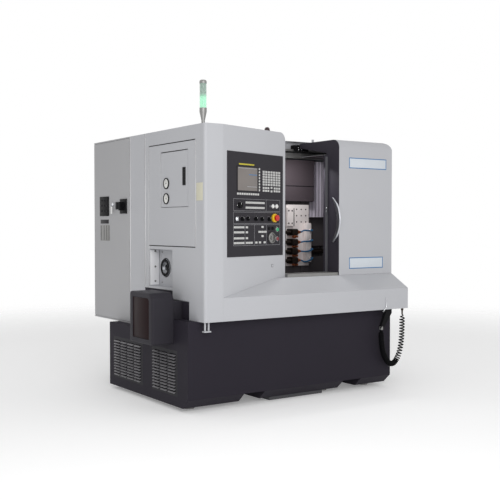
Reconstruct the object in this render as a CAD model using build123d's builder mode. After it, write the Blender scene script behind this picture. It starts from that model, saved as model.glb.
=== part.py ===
from build123d import *
import os
from math import cos, radians, sin, tan

os.makedirs("parts", exist_ok=True)

# Compact CNC turning lathe with gang tooling, in millimetres.
# +Z is up, the operator stands at -Y, the spindle points along +X.
# The origin is on the floor, in the middle of the machine's outline.

# Overall sizes
COVER_DEPTH = 1646
COVER_HEIGHT = 1827
COVER_BOTTOM = 582
MOTOR_COVER_REACH = 228
SHEET = 3
FIT_GAP = 0.5
RUN_GAP = 0.05
OVERRUN = 10

# Base
BASE_SIDE_STEP = 74
BASE_RIGHT_INSET = 98
BASE_FRONT_INSET = 83
BASE_DEPTH = 1139
SKIRT_HEIGHT = 27
TOE_DEPTH = 66
TOE_HEIGHT = 60
FORK_WIDTH = 165
FORK_HEIGHT = 60
FORK_FIRST = 352
FORK_PITCH = 848
NOTCH_FRONT = 193
NOTCH_STEP = 409
NOTCH_BACK = 802
NOTCH_LOW_TOP = 703
NOTCH_HIGH_TOP = 759
NOTCH_GAP = 4

# Levelling feet
FOOT_RADIUS = 35
FOOT_PAD = 12
FOOT_STEM_RADIUS = 10
FOOT_INSET = 110

# Louvred vent panels on the base's left side
VENT_SHEET = 4
VENT_RECESS = 34
VENT_BOTTOM = 92
VENT_HEIGHT = 295
VENT_FRONT_START = 218
VENT_FRONT_WIDTH = 344
VENT_REAR_START = 698
VENT_REAR_WIDTH = 458
VENT_SLOT_LENGTH = 84
VENT_SLOT_HEIGHT = 9
VENT_SLOT_PITCH = 20
VENT_COLUMN_PITCH = 106
VENT_ROWS = 13
VENT_FRONT_COLUMNS = 3
VENT_REAR_COLUMNS = 4

# Coolant tank in its bay under the base
TANK_LEFT = 604
TANK_WIDTH = 460
TANK_DEPTH = 1000
TANK_FLOOR_GAP = 4
TANK_HEIGHT = 210
TANK_FLANGE = 22
TANK_FLANGE_SHEET = 6
TANK_SIDE_GAP = 5
TANK_HEADROOM = 30
TANK_PULL = 60
TANK_PULL_REACH = 26

# Spindle drive
SPINDLE_FROM_FRONT = 638
SPINDLE_HEIGHT = 900
SPINDLE_RADIUS = 60
SPINDLE_BORE_RADIUS = 21.5
SPINDLE_NOSE_RADIUS = 88
SPINDLE_NOSE_LENGTH = 45
NOSE_CHAMFER = 14
DRAW_CYLINDER_RADIUS = 60
DRAW_CYLINDER_LENGTH = 95
DRAW_CYLINDER_START = 70
DRAW_BORE_RADIUS = 23
DRAW_RING_DEPTH = 12
DRAW_RING_WALL = 20
PULLEY_GAP = 5
PULLEY_WIDTH = 50
PULLEY_RIM = 4
PULLEY_RIM_HEIGHT = 6
SPINDLE_PULLEY_RADIUS = 95
MOTOR_PULLEY_RADIUS = 60
BELT_THICKNESS = 8
BELT_GAP = 0.3
MOTOR_FROM_FRONT = 425
MOTOR_HEIGHT = 575
MOTOR_RADIUS = 110
MOTOR_TAIL = 38
MOTOR_HEAD_GAP = 12
MOTOR_SHAFT_RADIUS = 19
MOTOR_SHAFT_SEAT = 60
MOTOR_RIB = 6
MOTOR_FOOT_WIDTH = 150
MOTOR_FOOT_LENGTH = 120
MOTOR_BAY_WIDTH = 230
MOTOR_BAY_MARGIN = 24

# Motor cover on the base's left side
MOTOR_COVER_WIDTH = 318
MOTOR_COVER_HEIGHT = 301
MOTOR_COVER_FRONT = 266
MOTOR_COVER_BOTTOM = 424
MOTOR_COVER_ROUND = 20

# Headstock and bed
HEADSTOCK_START = 300
HEADSTOCK_LENGTH = 340
HEADSTOCK_WIDTH = 320
HEADSTOCK_TOP = 1050
HEADSTOCK_ROUND = 60
BED_START = 662
BED_LENGTH = 978
BED_END_GAP = 110
BED_FROM_FRONT = 800
BED_TOP = 1330
BED_TOP_DEPTH = 150
BED_FOOT_DEPTH = 232
WAY_DEPTH = 14
WAY_HEIGHT = 66
LOWER_WAY = 650
UPPER_WAY = 1250

# Z axis screw and its motor
SCREW_HEIGHT = 985
SCREW_SET_BACK = 10
SCREW_RADIUS = 16
SCREW_CHANNEL_HEIGHT = 84
SCREW_CHANNEL_DEPTH = 45
SCREW_END_WALL = 40
SCREW_TAIL = 30
SERVO_SIZE = 90
SERVO_LENGTH = 92
NUT_SIZE = 56
NUT_LENGTH = 90

# Saddle and gang slide
SADDLE_START = 1100
SADDLE_WIDTH = 299
SADDLE_BOTTOM = 640
SADDLE_TOP = 1600
SADDLE_THICKNESS = 56
KEY_WIDTH = 30
KEY_DEPTH = 12
KEY_SPACING = 150
SADDLE_COVER_OVERHANG = 40
SADDLE_COVER_BOTTOM = 1395
SADDLE_COVER_TOP = 1690
SADDLE_COVER_REACH = 58
GANG_START = 1145
GANG_WIDTH = 218
GANG_THICKNESS = 40
GANG_BOTTOM = 880
GANG_TOP = 1349
GANG_HOLE_RADIUS = 5
GANG_HOLE_PITCH_X = 44
GANG_HOLE_PITCH_Z = 48
GANG_HOLE_DEPTH = 18
GANG_HOLE_COLUMNS = 3
GANG_HOLE_ROWS = 3
GANG_HOLES_FROM_TOP = 84
CLAMP_PLATE_WIDTH = 60
CLAMP_PLATE_HEIGHT = 137
CLAMP_PLATE_THICKNESS = 12
CLAMP_PLATE_INSET = 10
CLAMP_PLATE_FROM_TOP = 95
CLAMP_HOLE_PITCH_X = 32
CLAMP_HOLE_PITCH_Z = 96

# Tool holders, tools and coolant lines on the gang slide
HOLDER_START = 1150
HOLDER_LENGTH = 90
HOLDER_REACH = 78
HOLDER_HEIGHT = 50
HOLDER_CHAMFER = 8
HOLDER_HEIGHTS = (925, 994, 1063, 1139)
TOOL_RADIUS = 12
TOOL_LENGTH = 175
TOOL_SET_BACK = 34
TOOL_TIP_LENGTH = 22
TOOL_TIP_RADIUS = 8
MANIFOLD_START = 1290
MANIFOLD_WIDTH = 50
MANIFOLD_DEPTH = 42
MANIFOLD_BOTTOM = 906
MANIFOLD_TOP = 1208
MANIFOLD_ROUND = 8
NOZZLE_RADIUS = 9
NOZZLE_LENGTH = 24
NOZZLE_SET_BACK = 18
COOLANT_HOSE_RADIUS = 5
COOLANT_HOSE_RISE = 16
COOLANT_HOSE_BEND = 14

# Bellows over the ways, right of the saddle
BELLOWS_BOTTOM = 1255
BELLOWS_TOP = 1690
BELLOWS_DEPTH = 26
BELLOWS_SHEET = 2.5
BELLOWS_PLEATS = 11
BELLOWS_SET_BACK = 4

# Left cover, spindle pocket and service cover
CORNER_RETURN = 40
CORNER_ROUND = 18
POCKET_FRONT = 412
POCKET_WIDTH = 321
POCKET_BOTTOM = 773
POCKET_HEIGHT = 255
POCKET_DEPTH = 76
POCKET_HOLE_GAP = 6
SERVICE_FRONT = 115
SERVICE_WIDTH = 621
SERVICE_BOTTOM = 1055
SERVICE_HEIGHT = 675
SEAM = 3
LEDGE = 12
STRIP_SEAM_FROM_FRONT = 801
STRIP_SEAM_DEPTH = 1.5

# Gauge door in the service cover
GAUGE_DOOR_FRONT = 207
GAUGE_DOOR_WIDTH = 355
GAUGE_DOOR_BOTTOM = 1312
GAUGE_DOOR_HEIGHT = 362
GAUGE_DOOR_PIN_RADIUS = 1.1
GAUGE_DOOR_PIN_LENGTH = 9
GAUGE_DOOR_PIN_INSET = 6
GAUGE_FROM_FRONT = 489
GAUGE_HEIGHTS = (1368, 1469)
GAUGE_RADIUS = 37
GAUGE_RIM = 6
GAUGE_DIAL_DEPTH = 3
GAUGE_DIAL_RADIUS = 31
GAUGE_BARREL_RADIUS = 28
GAUGE_BARREL_LENGTH = 24
LATCH_FROM_FRONT = 255
LATCH_BOTTOM = 1450
LATCH_WIDTH = 37
LATCH_HEIGHT = 115
LATCH_GAP = 1.5
LATCH_PROUD = 2
LATCH_THICKNESS = 12
LATCH_BOX_DEPTH = 24
LATCH_BOX_WALL = 4
LATCH_PIN_RADIUS = 3
LATCH_PIN_FROM_TOP = 9

# Console and control panel
COLUMN_WIDTH = 136
CONSOLE_ANGLE = 18
CONSOLE_LENGTH = 674
CONSOLE_CORNER = 55
OPENING_FROM_FRONT = 333
SIDE_RECESS_DEPTH = 40
SIDE_RECESS_BOTTOM = 1030
SIDE_RECESS_TOP = 1760
PANEL_FROM_COLUMN = 38
PANEL_WIDTH = 606
PANEL_BOTTOM = 987
PANEL_HEIGHT = 677
PANEL_THICKNESS = 6
PANEL_PROUD = 2
PANEL_LEDGE = 15
PANEL_CAVITY = 60
DISPLAY_THICKNESS = 2
KEY_THICKNESS = 1.6
KEY_SIZE = 13
JACK_RADIUS = 6
JACK_LENGTH = 64
JACK_SPACING = 26
JACK_PLATE = 8
JACK_PLATE_LENGTH = 50
JACK_FROM_CORNER = 36

# Buttons and knobs
BUTTON_RADIUS = 12
BUTTON_PROUD = 9
BUTTON_STEM = 18
BUTTON_EDGE = 1.5
ESTOP_RADIUS = 25
ESTOP_HEAD = 18
ESTOP_NECK_RADIUS = 12
ESTOP_NECK = 34
ESTOP_EDGE = 7
KNOB_RADIUS = 13
KNOB_HEIGHT = 17
KNOB_LIFT = 0.6
KNOB_GRIP_WIDTH = 7
KNOB_GRIP_HEIGHT = 8
KNOB_SHAFT_RADIUS = 4
DIAL_RADIUS = 19
WHEEL_RADIUS = 44
WHEEL_HEIGHT = 16
WHEEL_HUB_RADIUS = 14
WHEEL_CRANK_RADIUS = 6
WHEEL_CRANK_HEIGHT = 22
WHEEL_EDGE = 4
WHEEL_SHAFT_RADIUS = 6

# Places on the control panel, as shares of its width from the left and its height from the top
BUTTON_PLACE_SHARES = {
    "start_button": (0.886, 0.741),
    "hold_button": (0.886, 0.834),
    "power_on_button": (0.815, 0.509),
    "power_off_button": (0.891, 0.509),
}
KNOB_PLACE_SHARES = {
    "knob_one": (0.246, 0.638),
    "knob_two": (0.344, 0.636),
    "knob_three": (0.486, 0.636),
    "knob_four": (0.597, 0.638),
    "knob_five": (0.730, 0.638),
    "key_switch": (0.146, 0.638),
}
ESTOP_PLACE_SHARES = (0.832, 0.626)
DIAL_PLACE_SHARES = (0.203, 0.508)
WHEEL_PLACE_SHARES = (0.770, 0.824)
DISPLAY_PLACE_SHARES = (0.344, 0.254)
DISPLAY_SIZE_SHARES = (0.365, 0.246)
# Rows of keys: across from, across to, down, number of keys, width of a key
KEY_ROW_SHARES = (
    (0.178, 0.533, 0.398, 10, 0.029),
    (0.330, 0.630, 0.480, 8, 0.039),
    (0.330, 0.630, 0.529, 8, 0.039),
    (0.130, 0.266, 0.718, 4, 0.041),
    (0.130, 0.266, 0.766, 4, 0.041),
    (0.130, 0.266, 0.823, 4, 0.041),
    (0.130, 0.266, 0.868, 4, 0.041),
    (0.332, 0.332, 0.718, 1, 0.038),
    (0.332, 0.332, 0.766, 1, 0.038),
    (0.332, 0.332, 0.823, 1, 0.038),
    (0.332, 0.416, 0.868, 3, 0.036),
    (0.613, 0.613, 0.715, 1, 0.038),
    (0.561, 0.665, 0.763, 3, 0.045),
    (0.613, 0.613, 0.805, 1, 0.038),
    (0.500, 0.500, 0.867, 1, 0.038),
    (0.566, 0.566, 0.867, 1, 0.038),
    (0.652, 0.652, 0.867, 1, 0.038),
    (0.633, 0.925, 0.172, 7, 0.035),
    (0.633, 0.925, 0.197, 7, 0.035),
    (0.633, 0.925, 0.222, 7, 0.035),
    (0.633, 0.925, 0.247, 7, 0.035),
    (0.633, 0.925, 0.272, 7, 0.035),
    (0.633, 0.925, 0.297, 7, 0.035),
    (0.633, 0.720, 0.330, 3, 0.032),
    (0.838, 0.925, 0.330, 3, 0.032),
    (0.633, 0.720, 0.358, 3, 0.032),
    (0.838, 0.925, 0.358, 3, 0.032),
    (0.779, 0.779, 0.326, 1, 0.032),
    (0.779, 0.779, 0.361, 1, 0.032),
)
SOFT_KEY_COLUMN_SHARES = (0.556, 0.150, 0.356, 8)

# Front apron with its sill, and the door rails
LIP_TOP = 731
SILL_TOP = 831
SILL_RUN = 175
APRON_SHEET = 4
APRON_FLANGE = 103
SILL_RAIL_HEIGHT = 21
DOOR_SKIN = 4
RAIL_BEAM_DEPTH = 36
RAIL_BEAM_BOTTOM = 1700
RAIL_BEAM_TOP = 1752
RAIL_WIDTH = 20
RAIL_HEIGHT = 16
RAIL_SET_BACK = 8

# Roof and right enclosure
ROOF_EDGE_FROM_FRONT = 644
LOW_TOP = 1712
RETURN_PANEL_SET_BACK = 33
REAR_FLOOR_LAP = 20

# Sliding door
DOOR_WIDTH = 518
DOOR_TOP = 1794
DOOR_DEPTH = 141
DOOR_ROOF_BACK = 633
DOOR_ROOF_ROOT = 76
DOOR_ROOF_TIP = 33
DOOR_ROUND = 62
DOOR_CORNER = 62
END_PLATE = 3
END_SEAL = 26
END_SEAL_DEPTH = 18
END_SEAL_TOP = 1700
HANDLE_TOP = 1390
HANDLE_BOTTOM = 1068
HANDLE_TIP_FROM_FRONT = 230
HANDLE_OUTER_FROM_FRONT = 138
HANDLE_INNER_FROM_FRONT = 174
HANDLE_TIP_WIDTH = 15
HANDLE_THICKNESS = 14
HANDLE_LIFT = 8
HANDLE_EDGE = 4.5
HANDLE_FOOT_RADIUS = 6
HANDLE_FOOT_INSET = 16
CARRIAGE_LENGTH = 130
CARRIAGE_OVERHANG = 46
CARRIAGE_DEPTH = 54
CARRIAGE_BOTTOM_GAP = 4
CARRIAGE_TOP = 1790
CARRIAGE_CHAMFER = 6

# Work area liner
LINER_LEFT = 645
LINER_START = 337
LINER_END = 760
LINER_TOP = 1690

# Electrical cabinet at the left rear
CABINET_FROM_FRONT = 1036
CABINET_WIDTH = 720
CABINET_BOTTOM = 483
CABINET_CAP = 10
CABINET_DOOR_THICKNESS = 18
CABINET_DOOR_GAP = 2
CABINET_WALL_START = 27
CABINET_PIN_RADIUS = 4
CABINET_PIN_LENGTH = 8
CABINET_PIN_INSET = 12
ISOLATOR_FROM_FRONT = 1132
ISOLATOR_HEIGHT = 1330
ISOLATOR_RADIUS = 24
ISOLATOR_DEPTH = 14
ISOLATOR_LIFT = 8
ISOLATOR_GRIP_LENGTH = 62
ISOLATOR_GRIP_WIDTH = 16
ISOLATOR_GRIP_DEPTH = 18
ISOLATOR_SHAFT_RADIUS = 5

# Stack light
LIGHT_FROM_LEFT = 49
LIGHT_FROM_FRONT = 98
LIGHT_FOOT_RADIUS = 31
LIGHT_BODY_RADIUS = 23
LIGHT_BASE_HEIGHT = 104
LIGHT_TIER_HEIGHT = 78
LIGHT_LENS_RADIUS = 22
LIGHT_CAP_HEIGHT = 21
LIGHT_BAND = 2
LIGHT_CORE_RADIUS = 8
LIGHT_CAP_ROUND = 8

# Air line under the apron
AIR_FROM_FRONT = 30
FITTING_FROM_RIGHT = 28
FITTING_NUT_RADIUS = 10
FITTING_NUT_LENGTH = 18
FITTING_BARB_RADIUS = 6
FITTING_LENGTH = 47
CURLY_RADIUS = 16
HOSE_DROP = 368
HOSE_BEND_SHARE = 0.45
# Way of the hose: share of the way across to the gun, share of the drop
HOSE_ROUTE_SHARES = (
    (0.000, 0.000),
    (0.000, 0.260),
    (0.038, 0.587),
    (0.182, 0.852),
    (0.459, 1.000),
    (0.756, 0.902),
    (1.000, 0.607),
)
GUN_FROM_RIGHT = 237
GUN_GRIP_BOTTOM = 446
GUN_THICKNESS = 24
GUN_LEAN = 78
GUN_GRIP_WIDTH = 30
GUN_HEAD_WIDTH = 46
GUN_HEAD_HEIGHT = 30
GUN_BARB_LENGTH = 14

# Places worked out from the sizes above
cover_width = BED_START + BED_LENGTH + BED_END_GAP
left = -(cover_width - MOTOR_COVER_REACH) / 2
right = left + cover_width
front = -COVER_DEPTH / 2
back = front + COVER_DEPTH
base_left = left - BASE_SIDE_STEP
base_right = right - BASE_RIGHT_INSET
base_front = front + BASE_FRONT_INSET
base_back = base_front + BASE_DEPTH
cabinet_front = front + CABINET_FROM_FRONT
cabinet_right = left + CABINET_WIDTH
column_right = left + COLUMN_WIDTH
console_angle = radians(CONSOLE_ANGLE)
console_right = column_right + CONSOLE_LENGTH * cos(console_angle)
console_back = front + CONSOLE_LENGTH * sin(console_angle)
opening_plane = front + OPENING_FROM_FRONT
spindle_y = front + SPINDLE_FROM_FRONT
motor_y = front + MOTOR_FROM_FRONT
bed_left = left + BED_START
bed_right = bed_left + BED_LENGTH
bed_front = front + BED_FROM_FRONT
way_front = bed_front - WAY_DEPTH
screw_y = bed_front + SCREW_SET_BACK
saddle_left = left + SADDLE_START
saddle_right = saddle_left + SADDLE_WIDTH
saddle_back = way_front - FIT_GAP
saddle_front = saddle_back - SADDLE_THICKNESS
gang_left = left + GANG_START
gang_right = gang_left + GANG_WIDTH
gang_back = saddle_front - FIT_GAP
gang_front = gang_back - GANG_THICKNESS
draw_start = left + DRAW_CYLINDER_START
spindle_start = draw_start + DRAW_CYLINDER_LENGTH
pulley_start = spindle_start + PULLEY_GAP
headstock_left = left + HEADSTOCK_START
headstock_right = headstock_left + HEADSTOCK_LENGTH
liner_left = left + LINER_LEFT
liner_right = bed_right
nose_start = bed_left - FIT_GAP
door_left = right - DOOR_WIDTH
door_front = front + SILL_RUN
door_back = door_front + DOOR_DEPTH
door_bottom = SILL_TOP + FIT_GAP
sill_rail_top = SILL_TOP + SILL_RAIL_HEIGHT
roof_edge = front + ROOF_EDGE_FROM_FRONT
roof_leg_back = front + DOOR_ROOF_BACK
top_rail_y = roof_edge + RAIL_SET_BACK

FROM_BASE = (Align.CENTER, Align.CENTER, Align.MIN)
ALONG_X = (1, 0, 0)
ALONG_MINUS_X = (-1, 0, 0)
DOWN = (0, 0, -1)
UP = (0, 0, 1)


def save(piece, name):
    """Label a finished piece and write its STEP file."""
    piece.part.label = name
    export_step(piece.part, f"parts/{name}.step")


def span(low, size):
    """The (low, high) pair of a stretch."""
    return (low, low + size)


def about(middle, size):
    """The (low, high) pair of a stretch about its middle."""
    return (middle - size / 2, middle + size / 2)


def block(x, y, z, mode=Mode.ADD):
    """A box given by its (low, high) pairs along X, Y and Z."""
    with Locations((sum(x) / 2, sum(y) / 2, sum(z) / 2)):
        Box(x[1] - x[0], y[1] - y[0], z[1] - z[0], mode=mode)


def rod(start, direction, radius, length, mode=Mode.ADD):
    """A round bar from a start point along a direction."""
    with Locations(Plane(origin=start, z_dir=direction)):
        Cylinder(radius, length, align=FROM_BASE, mode=mode)


# Base frame
fork_lefts = [left + FORK_FIRST + step * FORK_PITCH for step in range(2)]
vent_spans = [
    (span(front + VENT_FRONT_START, VENT_FRONT_WIDTH), VENT_FRONT_COLUMNS),
    (span(front + VENT_REAR_START, VENT_REAR_WIDTH), VENT_REAR_COLUMNS),
]
vent_z = span(VENT_BOTTOM, VENT_HEIGHT)
tank_x = span(left + TANK_LEFT, TANK_WIDTH)
tank_front = base_front + TOE_DEPTH + TANK_SIDE_GAP
tank_y = span(tank_front, TANK_DEPTH)
tank_top = TANK_FLOOR_GAP + TANK_HEIGHT
flange_bottom = tank_top - TANK_FLANGE_SHEET
motor_head = pulley_start - MOTOR_HEAD_GAP
bay_bottom = MOTOR_HEIGHT - MOTOR_BAY_WIDTH / 2
with BuildPart() as base_frame:
    with BuildSketch(Plane.YZ.offset(base_left)):
        with BuildLine():
            Polyline(
                (base_front + TOE_DEPTH, SKIRT_HEIGHT),
                (base_back, SKIRT_HEIGHT),
                (base_back, CABINET_BOTTOM),
                (cabinet_front, CABINET_BOTTOM),
                (cabinet_front, COVER_BOTTOM),
                (base_front, COVER_BOTTOM),
                (base_front, SKIRT_HEIGHT + TOE_HEIGHT),
                close=True,
            )
        make_face()
    extrude(amount=base_right - base_left)
    block((cabinet_right, base_right), (cabinet_front, base_back), (CABINET_BOTTOM, COVER_BOTTOM))
    riser_x = (base_left, left + SHEET)
    riser_low = (front + NOTCH_FRONT + NOTCH_GAP, front + NOTCH_STEP + NOTCH_GAP)
    riser_high = (riser_low[1], front + NOTCH_BACK - NOTCH_GAP)
    block(riser_x, riser_low, (COVER_BOTTOM, NOTCH_LOW_TOP - NOTCH_GAP))
    block(riser_x, riser_high, (COVER_BOTTOM, NOTCH_HIGH_TOP - NOTCH_GAP))
    for fork_left in fork_lefts:
        block(
            span(fork_left, FORK_WIDTH),
            (base_front - OVERRUN, base_back + OVERRUN),
            (SKIRT_HEIGHT - OVERRUN, SKIRT_HEIGHT + FORK_HEIGHT),
            Mode.SUBTRACT,
        )
    bay_y = (tank_front - TANK_SIDE_GAP, base_back + OVERRUN)
    block(
        (tank_x[0] - TANK_SIDE_GAP, tank_x[1] + TANK_SIDE_GAP),
        bay_y,
        (0, flange_bottom),
        Mode.SUBTRACT,
    )
    flange_room = TANK_FLANGE + TANK_SIDE_GAP
    block(
        (tank_x[0] - flange_room, tank_x[1] + flange_room),
        bay_y,
        (flange_bottom - FIT_GAP, tank_top + TANK_HEADROOM),
        Mode.SUBTRACT,
    )
    for vent_y, vent_columns in vent_spans:
        block((base_left - OVERRUN, base_left + VENT_RECESS), vent_y, vent_z, Mode.SUBTRACT)
    block(
        (base_left - OVERRUN, pulley_start + PULLEY_WIDTH + MOTOR_BAY_MARGIN),
        about(motor_y, MOTOR_BAY_WIDTH),
        span(bay_bottom, MOTOR_BAY_WIDTH),
        Mode.SUBTRACT,
    )
save(base_frame, "base_frame")

# Levelling feet, under the corners and beside the tank bay
foot_xs = (
    base_left + FOOT_INSET,
    (tank_x[1] + flange_room + fork_lefts[1]) / 2,
    base_right - FOOT_INSET,
)
foot_ys = (base_front + TOE_DEPTH + FOOT_INSET, base_back - FOOT_INSET)
with BuildPart() as levelling_feet:
    for foot_x in foot_xs:
        for foot_y in foot_ys:
            rod((foot_x, foot_y, 0), UP, FOOT_RADIUS, FOOT_PAD)
            rod((foot_x, foot_y, FOOT_PAD), UP, FOOT_STEM_RADIUS, SKIRT_HEIGHT - FOOT_PAD)
save(levelling_feet, "levelling_feet")

# Vent panels: sheets with rows of pressed slots
with BuildPart() as vent_panels:
    for vent_y, vent_columns in vent_spans:
        block(span(base_left, VENT_SHEET), vent_y, vent_z)
    for vent_y, vent_columns in vent_spans:
        with BuildSketch(Plane.YZ.offset(base_left)):
            with Locations((sum(vent_y) / 2, sum(vent_z) / 2)):
                with GridLocations(VENT_COLUMN_PITCH, VENT_SLOT_PITCH, vent_columns, VENT_ROWS):
                    Rectangle(VENT_SLOT_LENGTH, VENT_SLOT_HEIGHT)
        extrude(amount=VENT_SHEET, mode=Mode.SUBTRACT)
save(vent_panels, "vent_panels")

# Coolant tank, hung in its bay by flanges, with a pull at the back
with BuildPart() as coolant_tank:
    block(tank_x, tank_y, (TANK_FLOOR_GAP, tank_top))
    block(
        (tank_x[0] - TANK_FLANGE, tank_x[1] + TANK_FLANGE),
        tank_y,
        (flange_bottom, tank_top),
    )
    with BuildSketch(Plane.YZ.offset(sum(tank_x) / 2)):
        with Locations((tank_y[1], flange_bottom - TANK_PULL)):
            Rectangle(TANK_PULL_REACH, TANK_PULL, align=(Align.MIN, Align.CENTER))
            Rectangle(
                TANK_PULL_REACH - TANK_FLANGE_SHEET,
                TANK_PULL - 2 * TANK_FLANGE_SHEET,
                align=(Align.MIN, Align.CENTER),
                mode=Mode.SUBTRACT,
            )
    extrude(amount=TANK_PULL, both=True)
save(coolant_tank, "coolant_tank")

# Motor cover: a rounded box, open towards the base
with BuildPart() as motor_cover:
    block(
        (left - MOTOR_COVER_REACH, base_left),
        span(front + MOTOR_COVER_FRONT, MOTOR_COVER_WIDTH),
        span(MOTOR_COVER_BOTTOM, MOTOR_COVER_HEIGHT),
    )
    fillet(motor_cover.edges().filter_by(Axis.X), MOTOR_COVER_ROUND)
    fillet(motor_cover.faces().sort_by(Axis.X)[0].edges(), MOTOR_COVER_ROUND)
    offset(amount=-SHEET, openings=motor_cover.faces().sort_by(Axis.X)[-1])
save(motor_cover, "motor_cover")

# Bed casting with two ways and a channel for the Z screw
with BuildPart() as bed_casting:
    with BuildSketch(Plane.YZ.offset(bed_left)):
        with BuildLine():
            Polyline(
                (bed_front, COVER_BOTTOM),
                (bed_front, LOWER_WAY),
                (way_front, LOWER_WAY),
                (way_front, LOWER_WAY + WAY_HEIGHT),
                (bed_front, LOWER_WAY + WAY_HEIGHT),
                (bed_front, UPPER_WAY),
                (way_front, UPPER_WAY),
                (way_front, UPPER_WAY + WAY_HEIGHT),
                (bed_front, UPPER_WAY + WAY_HEIGHT),
                (bed_front, BED_TOP),
                (bed_front + BED_TOP_DEPTH, BED_TOP),
                (bed_front + BED_FOOT_DEPTH, COVER_BOTTOM),
                close=True,
            )
        make_face()
    extrude(amount=BED_LENGTH)
    block(
        (bed_left + SCREW_END_WALL, bed_right - SCREW_END_WALL),
        (bed_front - OVERRUN, bed_front + SCREW_CHANNEL_DEPTH),
        about(SCREW_HEIGHT, SCREW_CHANNEL_HEIGHT),
        Mode.SUBTRACT,
    )
    rod((bed_left, screw_y, SCREW_HEIGHT), ALONG_X, SCREW_RADIUS + RUN_GAP, BED_LENGTH, Mode.SUBTRACT)
save(bed_casting, "bed_casting")

# Z ball screw and its servo motor at the bed's right end
with BuildPart() as z_ball_screw:
    rod((bed_left, screw_y, SCREW_HEIGHT), ALONG_X, SCREW_RADIUS, BED_LENGTH + SCREW_TAIL)
save(z_ball_screw, "z_ball_screw")

with BuildPart() as z_servo_motor:
    block(span(bed_right, SERVO_LENGTH), about(screw_y, SERVO_SIZE), about(SCREW_HEIGHT, SERVO_SIZE))
    fillet(z_servo_motor.edges().filter_by(Axis.X), HOLDER_CHAMFER)
    screw_end = (bed_right, screw_y, SCREW_HEIGHT)
    rod(screw_end, ALONG_X, SCREW_RADIUS + RUN_GAP, SCREW_TAIL + FIT_GAP, Mode.SUBTRACT)
save(z_servo_motor, "z_servo_motor")

# Headstock
with BuildPart() as headstock:
    block(
        (headstock_left, headstock_right),
        about(spindle_y, HEADSTOCK_WIDTH),
        (COVER_BOTTOM, HEADSTOCK_TOP),
    )
    fillet(headstock.edges().filter_by(Axis.X).group_by(Axis.Z)[-1], HEADSTOCK_ROUND)
    rod(
        (headstock_left, spindle_y, SPINDLE_HEIGHT),
        ALONG_X,
        SPINDLE_RADIUS + RUN_GAP,
        HEADSTOCK_LENGTH,
        Mode.SUBTRACT,
    )
save(headstock, "headstock")

# Spindle with its nose, bored through for bar stock
with BuildPart() as spindle:
    rod((spindle_start, spindle_y, SPINDLE_HEIGHT), ALONG_X, SPINDLE_RADIUS, nose_start - spindle_start)
    rod((nose_start, spindle_y, SPINDLE_HEIGHT), ALONG_X, SPINDLE_NOSE_RADIUS, SPINDLE_NOSE_LENGTH)
    chamfer(spindle.faces().sort_by(Axis.X)[-1].edges(), NOSE_CHAMFER)
    rod(
        (spindle_start, spindle_y, SPINDLE_HEIGHT),
        ALONG_X,
        SPINDLE_BORE_RADIUS,
        nose_start + SPINDLE_NOSE_LENGTH - spindle_start,
        Mode.SUBTRACT,
    )
save(spindle, "spindle")

# Draw cylinder at the spindle's rear, with a dished end
with BuildPart() as draw_cylinder:
    draw_centre = (draw_start, spindle_y, SPINDLE_HEIGHT)
    rod(draw_centre, ALONG_X, DRAW_CYLINDER_RADIUS, DRAW_CYLINDER_LENGTH)
    rod(draw_centre, ALONG_X, DRAW_CYLINDER_RADIUS - DRAW_RING_WALL, DRAW_RING_DEPTH, Mode.SUBTRACT)
    rod(draw_centre, ALONG_X, DRAW_BORE_RADIUS, DRAW_CYLINDER_LENGTH, Mode.SUBTRACT)
save(draw_cylinder, "draw_cylinder")


def pulley(axis_y, axis_z, radius):
    """A rimmed belt pulley in the belt's plane."""
    rim_radius = radius + PULLEY_RIM_HEIGHT
    rod((pulley_start, axis_y, axis_z), ALONG_X, radius, PULLEY_WIDTH)
    rod((pulley_start, axis_y, axis_z), ALONG_X, rim_radius, PULLEY_RIM)
    rod((pulley_start + PULLEY_WIDTH - PULLEY_RIM, axis_y, axis_z), ALONG_X, rim_radius, PULLEY_RIM)


with BuildPart() as spindle_pulley:
    pulley(spindle_y, SPINDLE_HEIGHT, SPINDLE_PULLEY_RADIUS)
    rod(
        (pulley_start, spindle_y, SPINDLE_HEIGHT),
        ALONG_X,
        SPINDLE_RADIUS + RUN_GAP,
        PULLEY_WIDTH,
        Mode.SUBTRACT,
    )
save(spindle_pulley, "spindle_pulley")

# Motor pulley on its shaft
with BuildPart() as motor_pulley:
    pulley(motor_y, MOTOR_HEIGHT, MOTOR_PULLEY_RADIUS)
    rod(
        (motor_head - MOTOR_SHAFT_SEAT, motor_y, MOTOR_HEIGHT),
        ALONG_X,
        MOTOR_SHAFT_RADIUS,
        MOTOR_SHAFT_SEAT + MOTOR_HEAD_GAP + PULLEY_WIDTH,
    )
save(motor_pulley, "motor_pulley")

# Drive belt round both pulleys
belt_start = pulley_start + PULLEY_RIM + FIT_GAP
belt_width = PULLEY_WIDTH - 2 * (PULLEY_RIM + FIT_GAP)


def belt_outline(spindle_radius, motor_radius):
    """The loop round the two pulleys, on the belt's plane."""
    with BuildSketch(Plane.YZ.offset(belt_start)) as outline:
        with Locations((spindle_y, SPINDLE_HEIGHT)):
            Circle(spindle_radius)
        with Locations((motor_y, MOTOR_HEIGHT)):
            Circle(motor_radius)
        make_hull()
    return outline.sketch


with BuildPart() as drive_belt:
    inner_gap = BELT_GAP
    outer_gap = BELT_GAP + BELT_THICKNESS
    extrude(
        belt_outline(SPINDLE_PULLEY_RADIUS + outer_gap, MOTOR_PULLEY_RADIUS + outer_gap),
        amount=belt_width,
    )
    extrude(
        belt_outline(SPINDLE_PULLEY_RADIUS + inner_gap, MOTOR_PULLEY_RADIUS + inner_gap),
        amount=belt_width,
        mode=Mode.SUBTRACT,
    )
save(drive_belt, "drive_belt")

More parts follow.
